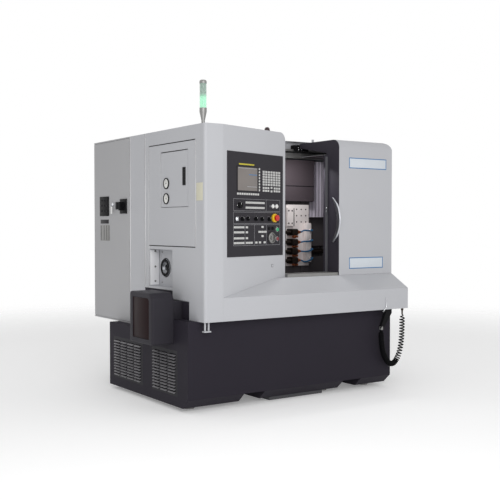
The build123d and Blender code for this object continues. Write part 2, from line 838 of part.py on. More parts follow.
# Spindle motor, on feet in the base's motor bay
motor_tail = left - MOTOR_COVER_REACH + MOTOR_TAIL
with BuildPart() as spindle_motor:
    motor_axis = (motor_tail, motor_y, MOTOR_HEIGHT)
    rod(motor_axis, ALONG_X, MOTOR_RADIUS, motor_head - motor_tail)
    fillet(spindle_motor.faces().sort_by(Axis.X)[0].edges(), MOTOR_RIB)
    block(
        about((motor_tail + motor_head) / 2, MOTOR_FOOT_LENGTH),
        about(motor_y, MOTOR_FOOT_WIDTH),
        (bay_bottom, MOTOR_HEIGHT),
    )
    rod(
        (motor_head - MOTOR_SHAFT_SEAT - FIT_GAP, motor_y, MOTOR_HEIGHT),
        ALONG_X,
        MOTOR_SHAFT_RADIUS + RUN_GAP,
        MOTOR_SHAFT_SEAT + FIT_GAP,
        Mode.SUBTRACT,
    )
save(spindle_motor, "spindle_motor")

# Saddle, with the nut that runs on the Z screw and two vertical keys for the gang slide
saddle_middle = (saddle_left + saddle_right) / 2
gang_middle = (gang_left + gang_right) / 2
key_centres = [gang_middle + side * KEY_SPACING / 2 for side in (-1, 1)]
with BuildPart() as saddle:
    block((saddle_left, saddle_right), (saddle_front, saddle_back), (SADDLE_BOTTOM, SADDLE_TOP))
    for key_centre in key_centres:
        block(
            about(key_centre, KEY_WIDTH),
            (saddle_front - KEY_DEPTH, saddle_front),
            (SADDLE_BOTTOM, SADDLE_COVER_BOTTOM),
        )
    block(
        about(saddle_middle, NUT_LENGTH),
        (saddle_back, screw_y + NUT_SIZE / 2),
        about(SCREW_HEIGHT, NUT_SIZE),
    )
    rod(
        (saddle_middle - NUT_LENGTH, screw_y, SCREW_HEIGHT),
        ALONG_X,
        SCREW_RADIUS + RUN_GAP,
        2 * NUT_LENGTH,
        Mode.SUBTRACT,
    )
save(saddle, "saddle")

# Saddle cover: a folded sheet in front of the upper saddle
cover_front = saddle_front - SADDLE_COVER_REACH
with BuildPart() as saddle_cover:
    cover_z = (SADDLE_COVER_BOTTOM, SADDLE_COVER_TOP)
    cover_x = (saddle_left - SADDLE_COVER_OVERHANG, saddle_right + SHEET)
    block(cover_x, span(cover_front, SHEET), cover_z)
    for return_left in (cover_x[0], saddle_right):
        block(span(return_left, SHEET), (cover_front, saddle_back), cover_z)
    block((cover_x[0], saddle_left), span(saddle_front, SHEET), cover_z)
save(saddle_cover, "saddle_cover")

# Gang slide with keyways, a clamp plate and rows of tapped holes
with BuildPart() as gang_slide:
    block((gang_left, gang_right), (gang_front, gang_back), (GANG_BOTTOM, GANG_TOP))
    for key_centre in key_centres:
        block(
            about(key_centre, KEY_WIDTH + 2 * FIT_GAP),
            (gang_back - KEY_DEPTH, gang_back),
            (GANG_BOTTOM, GANG_TOP),
            Mode.SUBTRACT,
        )
    clamp_x = span(gang_left + CLAMP_PLATE_INSET, CLAMP_PLATE_WIDTH)
    clamp_z = GANG_TOP - CLAMP_PLATE_FROM_TOP
    block(clamp_x, (gang_front - CLAMP_PLATE_THICKNESS, gang_front), about(clamp_z, CLAMP_PLATE_HEIGHT))
    with BuildSketch(Plane.XZ.offset(-gang_front + CLAMP_PLATE_THICKNESS)):
        with Locations((sum(clamp_x) / 2, clamp_z)):
            with GridLocations(CLAMP_HOLE_PITCH_X, CLAMP_HOLE_PITCH_Z, 2, 2):
                Circle(GANG_HOLE_RADIUS)
    extrude(amount=-GANG_HOLE_DEPTH, mode=Mode.SUBTRACT)
    with BuildSketch(Plane.XZ.offset(-gang_front)):
        with Locations(((clamp_x[1] + gang_right) / 2, GANG_TOP - GANG_HOLES_FROM_TOP)):
            with GridLocations(GANG_HOLE_PITCH_X, GANG_HOLE_PITCH_Z, GANG_HOLE_COLUMNS, GANG_HOLE_ROWS):
                Circle(GANG_HOLE_RADIUS)
    extrude(amount=-GANG_HOLE_DEPTH, mode=Mode.SUBTRACT)
save(gang_slide, "gang_slide")

# Tool holders in a stack, each with a boring bar
holder_x = span(left + HOLDER_START, HOLDER_LENGTH)
holder_front = gang_front - HOLDER_REACH
tool_y = holder_front + TOOL_SET_BACK
with BuildPart() as tool_holders:
    for holder_z in HOLDER_HEIGHTS:
        with BuildSketch(Plane.YZ.offset(holder_x[0])):
            with Locations(((holder_front + gang_front) / 2, holder_z)):
                Rectangle(HOLDER_REACH, HOLDER_HEIGHT)
            with Locations((tool_y, holder_z)):
                Circle(TOOL_RADIUS + RUN_GAP, mode=Mode.SUBTRACT)
        extrude(amount=HOLDER_LENGTH)
    front_edges = tool_holders.edges().filter_by(Axis.X).group_by(Axis.Y)[0]
    chamfer(front_edges, HOLDER_CHAMFER)
    for holder_z in HOLDER_HEIGHTS:
        shank_end = holder_x[1] - TOOL_LENGTH
        rod((holder_x[1], tool_y, holder_z), ALONG_MINUS_X, TOOL_RADIUS, TOOL_LENGTH)
        rod((shank_end, tool_y, holder_z), ALONG_MINUS_X, TOOL_TIP_RADIUS, TOOL_TIP_LENGTH)
save(tool_holders, "tool_holders")

# Coolant lines: manifold, nozzles on the holders and the hoses between them
manifold_x = span(left + MANIFOLD_START, MANIFOLD_WIDTH)
manifold_front = gang_front - MANIFOLD_DEPTH
nozzle_y = holder_front + NOZZLE_SET_BACK
with BuildPart() as coolant_lines:
    block(manifold_x, (manifold_front, gang_front), (MANIFOLD_BOTTOM, MANIFOLD_TOP))
    fillet(coolant_lines.edges().filter_by(Axis.Z), MANIFOLD_ROUND)
    for holder_z in HOLDER_HEIGHTS:
        rod((holder_x[1], nozzle_y, holder_z), ALONG_X, NOZZLE_RADIUS, NOZZLE_LENGTH)
        hose_start = (holder_x[1] + NOZZLE_LENGTH, nozzle_y, holder_z)
        hose_end_x = sum(manifold_x) / 2
        hose_end_z = holder_z + COOLANT_HOSE_RISE
        with BuildLine() as hose_path:
            FilletPolyline(
                hose_start,
                (hose_start[0] + COOLANT_HOSE_RISE, nozzle_y, holder_z),
                (hose_end_x, nozzle_y, hose_end_z),
                (hose_end_x, manifold_front, hose_end_z),
                radius=COOLANT_HOSE_BEND / 2,
            )
        with BuildSketch(Plane(origin=hose_start, z_dir=ALONG_X)):
            Circle(COOLANT_HOSE_RADIUS)
        sweep(path=hose_path.wires()[0])
save(coolant_lines, "coolant_lines")

# Bellows over the ways: a pleated sheet between the saddle and the liner's wall
with BuildPart() as bellows:
    bellows_start = saddle_right + SHEET + FIT_GAP
    bellows_end = liner_right - FIT_GAP
    pleat = (bellows_end - bellows_start) / BELLOWS_PLEATS
    fold_front = saddle_front + BELLOWS_SET_BACK
    front_points = []
    for fold in range(BELLOWS_PLEATS):
        fold_x = bellows_start + fold * pleat
        front_points.append((fold_x, fold_front + BELLOWS_DEPTH))
        front_points.append((fold_x + pleat / 2, fold_front))
    front_points.append((bellows_end, fold_front + BELLOWS_DEPTH))
    back_points = [(x, y + BELLOWS_SHEET) for x, y in reversed(front_points)]
    with BuildSketch(Plane.XY.offset(BELLOWS_BOTTOM)):
        with BuildLine():
            Polyline(*front_points, *back_points, close=True)
        make_face()
    extrude(amount=BELLOWS_TOP - BELLOWS_BOTTOM)
save(bellows, "bellows")

# Left cover with the stepped notch and the opening for the service cover; the spindle pocket is a tray behind it
service_y = span(front + SERVICE_FRONT, SERVICE_WIDTH)
service_z = span(SERVICE_BOTTOM, SERVICE_HEIGHT)
pocket_y = span(front + POCKET_FRONT, POCKET_WIDTH)
pocket_z = span(POCKET_BOTTOM, POCKET_HEIGHT)


def grown(pair, by):
    """A (low, high) pair made longer at both ends."""
    return (pair[0] - by, pair[1] + by)


with BuildPart() as left_cover:
    block(span(left, SHEET), (front + CORNER_RETURN, cabinet_front), (COVER_BOTTOM, COVER_HEIGHT))
    through_sheet = (left - OVERRUN, left + SHEET + OVERRUN)
    block(through_sheet, grown(service_y, SEAM), grown(service_z, SEAM), Mode.SUBTRACT)
    ledge_x = span(left + SHEET, SHEET)
    block(ledge_x, grown(service_y, LEDGE), grown(service_z, LEDGE))
    block(ledge_x, grown(service_y, -LEDGE), grown(service_z, -LEDGE), Mode.SUBTRACT)
    block(through_sheet, pocket_y, pocket_z, Mode.SUBTRACT)
    block(
        (left + SHEET + RUN_GAP, left + SHEET + POCKET_DEPTH),
        grown(pocket_y, SHEET),
        grown(pocket_z, SHEET),
    )
    block((left + SHEET, left + POCKET_DEPTH), pocket_y, pocket_z, Mode.SUBTRACT)
    rod(
        (left, spindle_y, SPINDLE_HEIGHT),
        ALONG_X,
        DRAW_CYLINDER_RADIUS + POCKET_HOLE_GAP,
        SHEET + POCKET_DEPTH + OVERRUN,
        Mode.SUBTRACT,
    )
    block(
        through_sheet,
        (front + NOTCH_FRONT, front + NOTCH_STEP),
        (COVER_BOTTOM - OVERRUN, NOTCH_LOW_TOP),
        Mode.SUBTRACT,
    )
    block(
        through_sheet,
        (front + NOTCH_STEP, front + NOTCH_BACK),
        (COVER_BOTTOM - OVERRUN, NOTCH_HIGH_TOP),
        Mode.SUBTRACT,
    )
    block(
        span(left, STRIP_SEAM_DEPTH),
        span(front + STRIP_SEAM_FROM_FRONT, SEAM),
        (NOTCH_HIGH_TOP, COVER_HEIGHT),
        Mode.SUBTRACT,
    )
save(left_cover, "left_cover")

# Service cover: a lift-off plate with the opening for the gauge door
gauge_door_y = span(front + GAUGE_DOOR_FRONT, GAUGE_DOOR_WIDTH)
gauge_door_z = span(GAUGE_DOOR_BOTTOM, GAUGE_DOOR_HEIGHT)
gauge_pin = (left + SHEET / 2, gauge_door_y[1] - GAUGE_DOOR_PIN_INSET)
with BuildPart() as service_cover:
    block(span(left, SHEET), service_y, service_z)
    block(through_sheet, grown(gauge_door_y, SEAM), grown(gauge_door_z, SEAM), Mode.SUBTRACT)
    rod(
        (*gauge_pin, gauge_door_z[0] - GAUGE_DOOR_PIN_LENGTH - FIT_GAP),
        UP,
        GAUGE_DOOR_PIN_RADIUS + RUN_GAP,
        GAUGE_DOOR_HEIGHT + 2 * (GAUGE_DOOR_PIN_LENGTH + FIT_GAP),
        Mode.SUBTRACT,
    )
save(service_cover, "service_cover")

# Gauge door on pivot pins, with a box for the latch
latch_y = about(front + LATCH_FROM_FRONT, LATCH_WIDTH)
latch_z = span(LATCH_BOTTOM, LATCH_HEIGHT)
latch_pin = (left + LATCH_THICKNESS / 2 - LATCH_PROUD, latch_z[1] - LATCH_PIN_FROM_TOP)
with BuildPart() as gauge_door:
    block(span(left, SHEET), gauge_door_y, gauge_door_z)
    for pin_bottom in (gauge_door_z[0] - GAUGE_DOOR_PIN_LENGTH, gauge_door_z[1]):
        rod((*gauge_pin, pin_bottom), UP, GAUGE_DOOR_PIN_RADIUS, GAUGE_DOOR_PIN_LENGTH)
    latch_room_y = grown(latch_y, LATCH_GAP)
    latch_room_z = grown(latch_z, LATCH_GAP)
    block(
        span(left, LATCH_BOX_DEPTH),
        grown(latch_room_y, LATCH_BOX_WALL),
        grown(latch_room_z, LATCH_BOX_WALL),
    )
    block(
        (left - OVERRUN, left + LATCH_BOX_DEPTH - LATCH_BOX_WALL),
        latch_room_y,
        latch_room_z,
        Mode.SUBTRACT,
    )
    rod(
        (latch_pin[0], latch_room_y[0] - LATCH_BOX_WALL, latch_pin[1]),
        (0, 1, 0),
        LATCH_PIN_RADIUS + RUN_GAP,
        latch_room_y[1] - latch_room_y[0] + 2 * LATCH_BOX_WALL,
        Mode.SUBTRACT,
    )
    for gauge_z in GAUGE_HEIGHTS:
        rod(
            (left, front + GAUGE_FROM_FRONT, gauge_z),
            ALONG_X,
            GAUGE_BARREL_RADIUS + FIT_GAP,
            SHEET,
            Mode.SUBTRACT,
        )
save(gauge_door, "gauge_door")

# Latch handle with its pivot pin
with BuildPart() as gauge_door_latch:
    block(span(left - LATCH_PROUD, LATCH_THICKNESS), latch_y, latch_z)
    fillet(gauge_door_latch.edges().filter_by(Axis.Y).group_by(Axis.X)[0], LATCH_PROUD)
    rod(
        (latch_pin[0], latch_room_y[0] - LATCH_BOX_WALL, latch_pin[1]),
        (0, 1, 0),
        LATCH_PIN_RADIUS,
        latch_room_y[1] - latch_room_y[0] + 2 * LATCH_BOX_WALL,
    )
save(gauge_door_latch, "gauge_door_latch")

# Pressure gauges, flanged into the gauge door
with BuildPart() as pressure_gauges:
    for gauge_z in GAUGE_HEIGHTS:
        gauge_face = (left - GAUGE_RIM, front + GAUGE_FROM_FRONT, gauge_z)
        rod(gauge_face, ALONG_X, GAUGE_RADIUS, GAUGE_RIM)
        rod(gauge_face, ALONG_X, GAUGE_DIAL_RADIUS, GAUGE_DIAL_DEPTH, Mode.SUBTRACT)
        rod(
            (left, front + GAUGE_FROM_FRONT, gauge_z),
            ALONG_X,
            GAUGE_BARREL_RADIUS,
            GAUGE_BARREL_LENGTH,
        )
save(pressure_gauges, "pressure_gauges")

# Console housing: the column and the angled face, standing on the sill
face_along = Vector(cos(console_angle), sin(console_angle), 0)
face_out = Vector(sin(console_angle), -cos(console_angle), 0)
panel_middle = (
    Vector(column_right, front, PANEL_BOTTOM + PANEL_HEIGHT / 2)
    + face_along * (PANEL_FROM_COLUMN + PANEL_WIDTH / 2)
)
face_plane = Plane(origin=panel_middle, x_dir=face_along, z_dir=face_out)
panel_front = face_plane.offset(PANEL_PROUD)
panel_back = face_plane.offset(PANEL_PROUD - PANEL_THICKNESS)


with BuildPart() as console_housing:
    with BuildSketch(Plane.XY.offset(COVER_BOTTOM)):
        with BuildLine():
            Polyline(
                (left, front),
                (column_right, front),
                (console_right, console_back),
                (console_right, opening_plane),
                (left + SHEET, opening_plane),
                (left + SHEET, front + CORNER_RETURN),
                (left, front + CORNER_RETURN),
                close=True,
            )
        make_face()
    extrude(amount=COVER_HEIGHT - COVER_BOTTOM)
    upright_edges = console_housing.edges().filter_by(Axis.Z)
    fillet(upright_edges.sort_by_distance((left, front, COVER_HEIGHT))[0], CORNER_ROUND)
    top_corner = console_housing.faces().sort_by(Axis.X)[-1].edges().sort_by(Axis.Z)[-1]
    fillet(top_corner, CONSOLE_CORNER)
    with BuildSketch(Plane.YZ.offset(column_right)):
        with BuildLine():
            Polyline(
                (front - OVERRUN, COVER_BOTTOM - OVERRUN),
                (front - OVERRUN, LIP_TOP),
                (front, LIP_TOP),
                (door_front, SILL_TOP),
                (opening_plane + OVERRUN, SILL_TOP),
                (opening_plane + OVERRUN, COVER_BOTTOM - OVERRUN),
                close=True,
            )
        make_face()
    extrude(amount=cover_width, mode=Mode.SUBTRACT)
    block(
        (left, left + SIDE_RECESS_DEPTH),
        (front + CORNER_RETURN, opening_plane),
        (SIDE_RECESS_BOTTOM, SIDE_RECESS_TOP),
        Mode.SUBTRACT,
    )
    block(
        (left, pulley_start + PULLEY_WIDTH + MOTOR_BAY_MARGIN),
        (motor_y - MOTOR_BAY_WIDTH / 2, opening_plane),
        (COVER_BOTTOM, bay_bottom + MOTOR_BAY_WIDTH),
        Mode.SUBTRACT,
    )
    with BuildSketch(panel_back):
        Rectangle(PANEL_WIDTH, PANEL_HEIGHT)
    extrude(amount=PANEL_THICKNESS, mode=Mode.SUBTRACT)
    with BuildSketch(panel_back):
        Rectangle(PANEL_WIDTH - 2 * PANEL_LEDGE, PANEL_HEIGHT - 2 * PANEL_LEDGE)
    extrude(amount=-PANEL_CAVITY, mode=Mode.SUBTRACT)
    jack_y = front + JACK_FROM_CORNER
    for side in (-1, 1):
        jack_x = left + JACK_FROM_CORNER + side * JACK_SPACING / 2
        rod((jack_x, jack_y, COVER_BOTTOM), DOWN, JACK_RADIUS, JACK_LENGTH)
    block(
        about(left + JACK_FROM_CORNER, JACK_PLATE_LENGTH),
        about(jack_y, JACK_SPACING),
        span(COVER_BOTTOM - JACK_LENGTH, JACK_PLATE),
    )
save(console_housing, "console_housing")


def place_on_panel(shares):
    """A plane on the panel's front, at shares of its width and height from its top left corner."""
    across = (shares[0] - 1 / 2) * PANEL_WIDTH
    down = (1 / 2 - shares[1]) * PANEL_HEIGHT
    origin = panel_front.from_local_coords(Vector(across, down, 0))
    return Plane(origin=origin, x_dir=face_along, z_dir=face_out)


def panel_point(shares):
    """The same place in the panel's own two coordinates."""
    return ((shares[0] - 1 / 2) * PANEL_WIDTH, (1 / 2 - shares[1]) * PANEL_HEIGHT)


# Control panel with a hole for each control
panel_holes = [(shares, BUTTON_RADIUS + BELT_GAP) for shares in BUTTON_PLACE_SHARES.values()]
panel_holes += [(shares, KNOB_SHAFT_RADIUS + RUN_GAP) for shares in KNOB_PLACE_SHARES.values()]
panel_holes += [
    (ESTOP_PLACE_SHARES, ESTOP_NECK_RADIUS + BELT_GAP),
    (DIAL_PLACE_SHARES, KNOB_SHAFT_RADIUS + RUN_GAP),
    (WHEEL_PLACE_SHARES, WHEEL_SHAFT_RADIUS + RUN_GAP),
]
with BuildPart() as control_panel:
    with BuildSketch(panel_back):
        Rectangle(PANEL_WIDTH, PANEL_HEIGHT)
        for shares, hole_radius in panel_holes:
            with Locations(panel_point(shares)):
                Circle(hole_radius, mode=Mode.SUBTRACT)
    extrude(amount=PANEL_THICKNESS)
save(control_panel, "control_panel")

# Display and keys, on the panel's front
with BuildPart() as display:
    with BuildSketch(panel_front):
        with Locations(panel_point(DISPLAY_PLACE_SHARES)):
            Rectangle(DISPLAY_SIZE_SHARES[0] * PANEL_WIDTH, DISPLAY_SIZE_SHARES[1] * PANEL_HEIGHT)
    extrude(amount=DISPLAY_THICKNESS)
save(display, "display")

with BuildPart() as panel_keys:
    with BuildSketch(panel_front):
        for first, last, down, count, width in KEY_ROW_SHARES:
            for number in range(count):
                across = first if count == 1 else first + (last - first) * number / (count - 1)
                with Locations(panel_point((across, down))):
                    Rectangle(width * PANEL_WIDTH, KEY_SIZE)
        column_across, column_top, column_bottom, column_count = SOFT_KEY_COLUMN_SHARES
        for number in range(column_count):
            down = column_top + (column_bottom - column_top) * number / (column_count - 1)
            with Locations(panel_point((column_across, down))):
                Rectangle(KEY_SIZE, KEY_SIZE)
    extrude(amount=KEY_THICKNESS)
save(panel_keys, "panel_keys")

# Push buttons, each sliding in its panel hole
for name, shares in BUTTON_PLACE_SHARES.items():
    with BuildPart(place_on_panel(shares).offset(-BUTTON_STEM)) as push_button:
        Cylinder(BUTTON_RADIUS, BUTTON_STEM + BUTTON_PROUD, align=FROM_BASE)
        chamfer(push_button.faces().sort_by(Axis(panel_middle, face_out))[-1].edges(), BUTTON_EDGE)
    save(push_button, name)

with BuildPart(place_on_panel(ESTOP_PLACE_SHARES).offset(-BUTTON_STEM)) as estop_button:
    Cylinder(ESTOP_NECK_RADIUS, BUTTON_STEM + ESTOP_NECK, align=FROM_BASE)
    with Locations((0, 0, BUTTON_STEM + ESTOP_NECK)):
        Cylinder(ESTOP_RADIUS, ESTOP_HEAD, align=FROM_BASE)
    fillet(estop_button.faces().sort_by(Axis(panel_middle, face_out))[-1].edges(), ESTOP_EDGE)
save(estop_button, "estop_button")

# Rotary switches: a round skirt with a bar grip, on a shaft through the panel
for name, shares in KNOB_PLACE_SHARES.items():
    with BuildPart(place_on_panel(shares).offset(-BUTTON_STEM)) as knob:
        Cylinder(KNOB_SHAFT_RADIUS, BUTTON_STEM + KNOB_LIFT, align=FROM_BASE)
        with Locations((0, 0, BUTTON_STEM + KNOB_LIFT)):
            Cylinder(KNOB_RADIUS, KNOB_HEIGHT - KNOB_GRIP_HEIGHT, align=FROM_BASE)
        with Locations((0, 0, BUTTON_STEM + KNOB_LIFT + KNOB_HEIGHT - KNOB_GRIP_HEIGHT)):
            Box(KNOB_GRIP_WIDTH, 2 * KNOB_RADIUS, KNOB_GRIP_HEIGHT, align=FROM_BASE)
    save(knob, name)

with BuildPart(place_on_panel(DIAL_PLACE_SHARES).offset(-BUTTON_STEM)) as mode_dial:
    Cylinder(KNOB_SHAFT_RADIUS, BUTTON_STEM + KNOB_LIFT, align=FROM_BASE)
    with Locations((0, 0, BUTTON_STEM + KNOB_LIFT)):
        Cylinder(DIAL_RADIUS, KNOB_HEIGHT, align=FROM_BASE)
    chamfer(mode_dial.faces().sort_by(Axis(panel_middle, face_out))[-1].edges(), BUTTON_EDGE)
save(mode_dial, "mode_dial")

# Handwheel: a dished wheel with a crank knob
with BuildPart(place_on_panel(WHEEL_PLACE_SHARES).offset(-BUTTON_STEM)) as handwheel:
    Cylinder(WHEEL_SHAFT_RADIUS, BUTTON_STEM + KNOB_LIFT, align=FROM_BASE)
    wheel_floor = BUTTON_STEM + KNOB_LIFT
    with Locations((0, 0, wheel_floor)):
        Cylinder(WHEEL_RADIUS, WHEEL_HEIGHT, align=FROM_BASE)
    fillet(handwheel.faces().sort_by(Axis(panel_middle, face_out))[-1].edges(), WHEEL_EDGE)
    with Locations((0, 0, wheel_floor + WHEEL_HEIGHT / 2)):
        Cylinder(WHEEL_RADIUS - 2 * WHEEL_EDGE, WHEEL_HEIGHT, align=FROM_BASE, mode=Mode.SUBTRACT)
        Cylinder(WHEEL_HUB_RADIUS, WHEEL_HEIGHT / 2, align=FROM_BASE)
    crank_reach = (WHEEL_HUB_RADIUS + WHEEL_RADIUS - 2 * WHEEL_EDGE) / 2
    with Locations((crank_reach, 0, wheel_floor + WHEEL_HEIGHT / 2)):
        Cylinder(WHEEL_CRANK_RADIUS, WHEEL_CRANK_HEIGHT, align=FROM_BASE)
save(handwheel, "handwheel")

# Front apron: lip, sloped sill and shelf in one folded sheet with a closed right end
with BuildPart() as front_apron:
    with BuildSketch(Plane.YZ.offset(column_right)):
        with BuildLine():
            Polyline(
                (front, COVER_BOTTOM),
                (front, LIP_TOP),
                (door_front, SILL_TOP),
                (opening_plane, SILL_TOP),
                (opening_plane, COVER_BOTTOM),
                close=True,
            )
        make_face()
    extrude(amount=right - column_right)
    with BuildSketch(Plane.YZ.offset(column_right)):
        with BuildLine():
            Polyline(
                (front + APRON_SHEET, COVER_BOTTOM + APRON_SHEET),
                (front + APRON_SHEET, LIP_TOP - APRON_SHEET / 2),
                (door_front + APRON_SHEET / 2, SILL_TOP - APRON_SHEET),
                (opening_plane + OVERRUN, SILL_TOP - APRON_SHEET),
                (opening_plane + OVERRUN, COVER_BOTTOM - OVERRUN),
                (front + APRON_FLANGE, COVER_BOTTOM - OVERRUN),
                (front + APRON_FLANGE, COVER_BOTTOM + APRON_SHEET),
                close=True,
            )
        make_face()
    extrude(amount=right - column_right - SHEET, mode=Mode.SUBTRACT)
save(front_apron, "front_apron")

# Door rails: the sill rail under the door, and the beam with the top rail
with BuildPart() as door_rails:
    block(
        (console_right, right - SHEET),
        (door_front + DOOR_SKIN + FIT_GAP, door_back),
        span(SILL_TOP, SILL_RAIL_HEIGHT),
    )
    block(
        (left + 2 * SHEET, right - SHEET),
        span(roof_edge, RAIL_BEAM_DEPTH),
        (RAIL_BEAM_BOTTOM, RAIL_BEAM_TOP),
    )
    block(
        (console_right - CARRIAGE_LENGTH, right - SHEET),
        span(top_rail_y, RAIL_WIDTH),
        span(RAIL_BEAM_TOP, RAIL_HEIGHT),
    )
save(door_rails, "door_rails")

# Roof sheet, stepped round the door opening and the cabinet
with BuildPart() as roof_cover:
    with BuildSketch(Plane.XY.offset(COVER_HEIGHT - SHEET)):
        with BuildLine():
            Polyline(
                (left + SHEET, opening_plane),
                (console_right, opening_plane),
                (console_right, roof_edge),
                (right - SHEET, roof_edge),
                (right - SHEET, back - SHEET),
                (cabinet_right, back - SHEET),
                (cabinet_right, cabinet_front),
                (left + SHEET, cabinet_front),
                close=True,
            )
        make_face()
    extrude(amount=SHEET)
save(roof_cover, "roof_cover")

# Right enclosure: right wall, rear wall with its floor, and the return panel behind the open door
with BuildPart() as right_enclosure:
    with BuildSketch(Plane.YZ.offset(right - SHEET)):
        with BuildLine():
            Polyline(
                (opening_plane, COVER_BOTTOM),
                (back, COVER_BOTTOM),
                (back, COVER_HEIGHT),
                (roof_edge, COVER_HEIGHT),
                (roof_edge, LOW_TOP),
                (opening_plane, LOW_TOP),
                close=True,
            )
        make_face()
    extrude(amount=SHEET)
    block((cabinet_right, right), (back - SHEET, back), (COVER_BOTTOM, COVER_HEIGHT))
    block((cabinet_right, right), (base_back - REAR_FLOOR_LAP, back), span(COVER_BOTTOM, SHEET))
    return_x = (door_left + RETURN_PANEL_SET_BACK, right)
    block(return_x, span(opening_plane, SHEET), (SILL_TOP, LOW_TOP))
    block(return_x, (opening_plane, roof_edge), (LOW_TOP - SHEET, LOW_TOP))
save(right_enclosure, "right_enclosure")

# Work area liner: a U of sheet across the machine, with a hole for the spindle
with BuildPart() as work_area_liner:
    liner_y = (front + LINER_START, front + LINER_END)
    block((liner_left, liner_right + SHEET), liner_y, span(COVER_BOTTOM, SHEET))
    for wall_left in (liner_left, liner_right):
        block(span(wall_left, SHEET), liner_y, (COVER_BOTTOM, LINER_TOP))
    rod(
        (liner_left, spindle_y, SPINDLE_HEIGHT),
        ALONG_X,
        SPINDLE_RADIUS + POCKET_HOLE_GAP,
        SHEET,
        Mode.SUBTRACT,
    )
save(work_area_liner, "work_area_liner")


# The door's section: a deep front leg and a roof leg that thins towards the back
door_points = [
    (door_front, door_bottom),
    (door_front, DOOR_TOP),
    (roof_leg_back, DOOR_TOP),
    (roof_leg_back, DOOR_TOP - DOOR_ROOF_TIP),
    (door_back, DOOR_TOP - DOOR_ROOF_ROOT),
    (door_back, sill_rail_top + FIT_GAP),
    (door_front + DOOR_SKIN, sill_rail_top + FIT_GAP),
    (door_front + DOOR_SKIN, door_bottom),
]

# Door shell with a rounded upper right corner
with BuildPart() as door_shell:
    with BuildSketch(Plane.YZ.offset(door_left + END_PLATE)) as shell_section:
        with BuildLine():
            Polyline(*door_points, close=True)
        make_face()
        local_corner = shell_section.vertices().sort_by(Axis.X).group_by(Axis.X)[0].sort_by(Axis.Y)[-1]
        fillet(local_corner, DOOR_ROUND)
    extrude(amount=DOOR_WIDTH - END_PLATE)
    with BuildSketch(Plane.XZ.offset(-roof_leg_back)):
        with Locations((right - DOOR_CORNER, DOOR_TOP - DOOR_CORNER)):
            Rectangle(DOOR_CORNER + OVERRUN, DOOR_CORNER + OVERRUN, align=(Align.MIN, Align.MIN))
            Circle(DOOR_CORNER, mode=Mode.SUBTRACT)
    extrude(amount=roof_leg_back - door_front, mode=Mode.SUBTRACT)
save(door_shell, "door_shell")

# Dark end plate on the door's leading edge, with the bar that seals against the console
with BuildPart() as door_end_plate:
    with BuildSketch(Plane.YZ.offset(door_left)) as plate_section:
        with BuildLine():
            Polyline(*door_points, close=True)
        make_face()
        local_corner = plate_section.vertices().sort_by(Axis.X).group_by(Axis.X)[0].sort_by(Axis.Y)[-1]
        fillet(local_corner, DOOR_ROUND)
    extrude(amount=END_PLATE)
    block(
        (door_left - END_SEAL, door_left + END_PLATE / 2),
        (door_back - END_SEAL_DEPTH, door_back),
        (sill_rail_top + FIT_GAP, END_SEAL_TOP),
    )
save(door_end_plate, "door_end_plate")

# Crescent handle, thick in the middle, on two feet
tip_back = front + HANDLE_TIP_FROM_FRONT
tip_front = tip_back - HANDLE_TIP_WIDTH
handle_middle = (HANDLE_TOP + HANDLE_BOTTOM) / 2
handle_face = door_left - HANDLE_LIFT
with BuildPart() as door_handle:
    with BuildSketch(Plane.YZ.offset(handle_face)):
        with BuildLine():
            ThreePointArc(
                (tip_front, HANDLE_TOP),
                (front + HANDLE_OUTER_FROM_FRONT, handle_middle),
                (tip_front, HANDLE_BOTTOM),
            )
            Line((tip_front, HANDLE_BOTTOM), (tip_back, HANDLE_BOTTOM))
            ThreePointArc(
                (tip_back, HANDLE_BOTTOM),
                (front + HANDLE_INNER_FROM_FRONT, handle_middle),
                (tip_back, HANDLE_TOP),
            )
            Line((tip_back, HANDLE_TOP), (tip_front, HANDLE_TOP))
        make_face()
    extrude(amount=-HANDLE_THICKNESS)
    fillet(door_handle.edges(), HANDLE_EDGE)
    for foot_z in (HANDLE_TOP - HANDLE_FOOT_INSET, HANDLE_BOTTOM + HANDLE_FOOT_INSET):
        rod(
            (door_left, tip_back - HANDLE_TIP_WIDTH, foot_z),
            ALONG_MINUS_X,
            HANDLE_FOOT_RADIUS,
            HANDLE_LIFT + HANDLE_THICKNESS / 2,
        )
save(door_handle, "door_handle")

# Carriage that runs on the top rail
with BuildPart() as door_carriage:
    block(
        span(door_left - CARRIAGE_OVERHANG, CARRIAGE_LENGTH),
        span(roof_leg_back, CARRIAGE_DEPTH),
        (RAIL_BEAM_TOP + CARRIAGE_BOTTOM_GAP, CARRIAGE_TOP),
    )
    chamfer(door_carriage.edges().filter_by(Axis.Y).group_by(Axis.Z)[-1], CARRIAGE_CHAMFER)
    block(
        span(door_left - CARRIAGE_OVERHANG - OVERRUN, CARRIAGE_LENGTH + 2 * OVERRUN),
        grown(span(top_rail_y, RAIL_WIDTH), FIT_GAP),
        (RAIL_BEAM_TOP, RAIL_BEAM_TOP + RAIL_HEIGHT + FIT_GAP),
        Mode.SUBTRACT,
    )
save(door_carriage, "door_carriage")

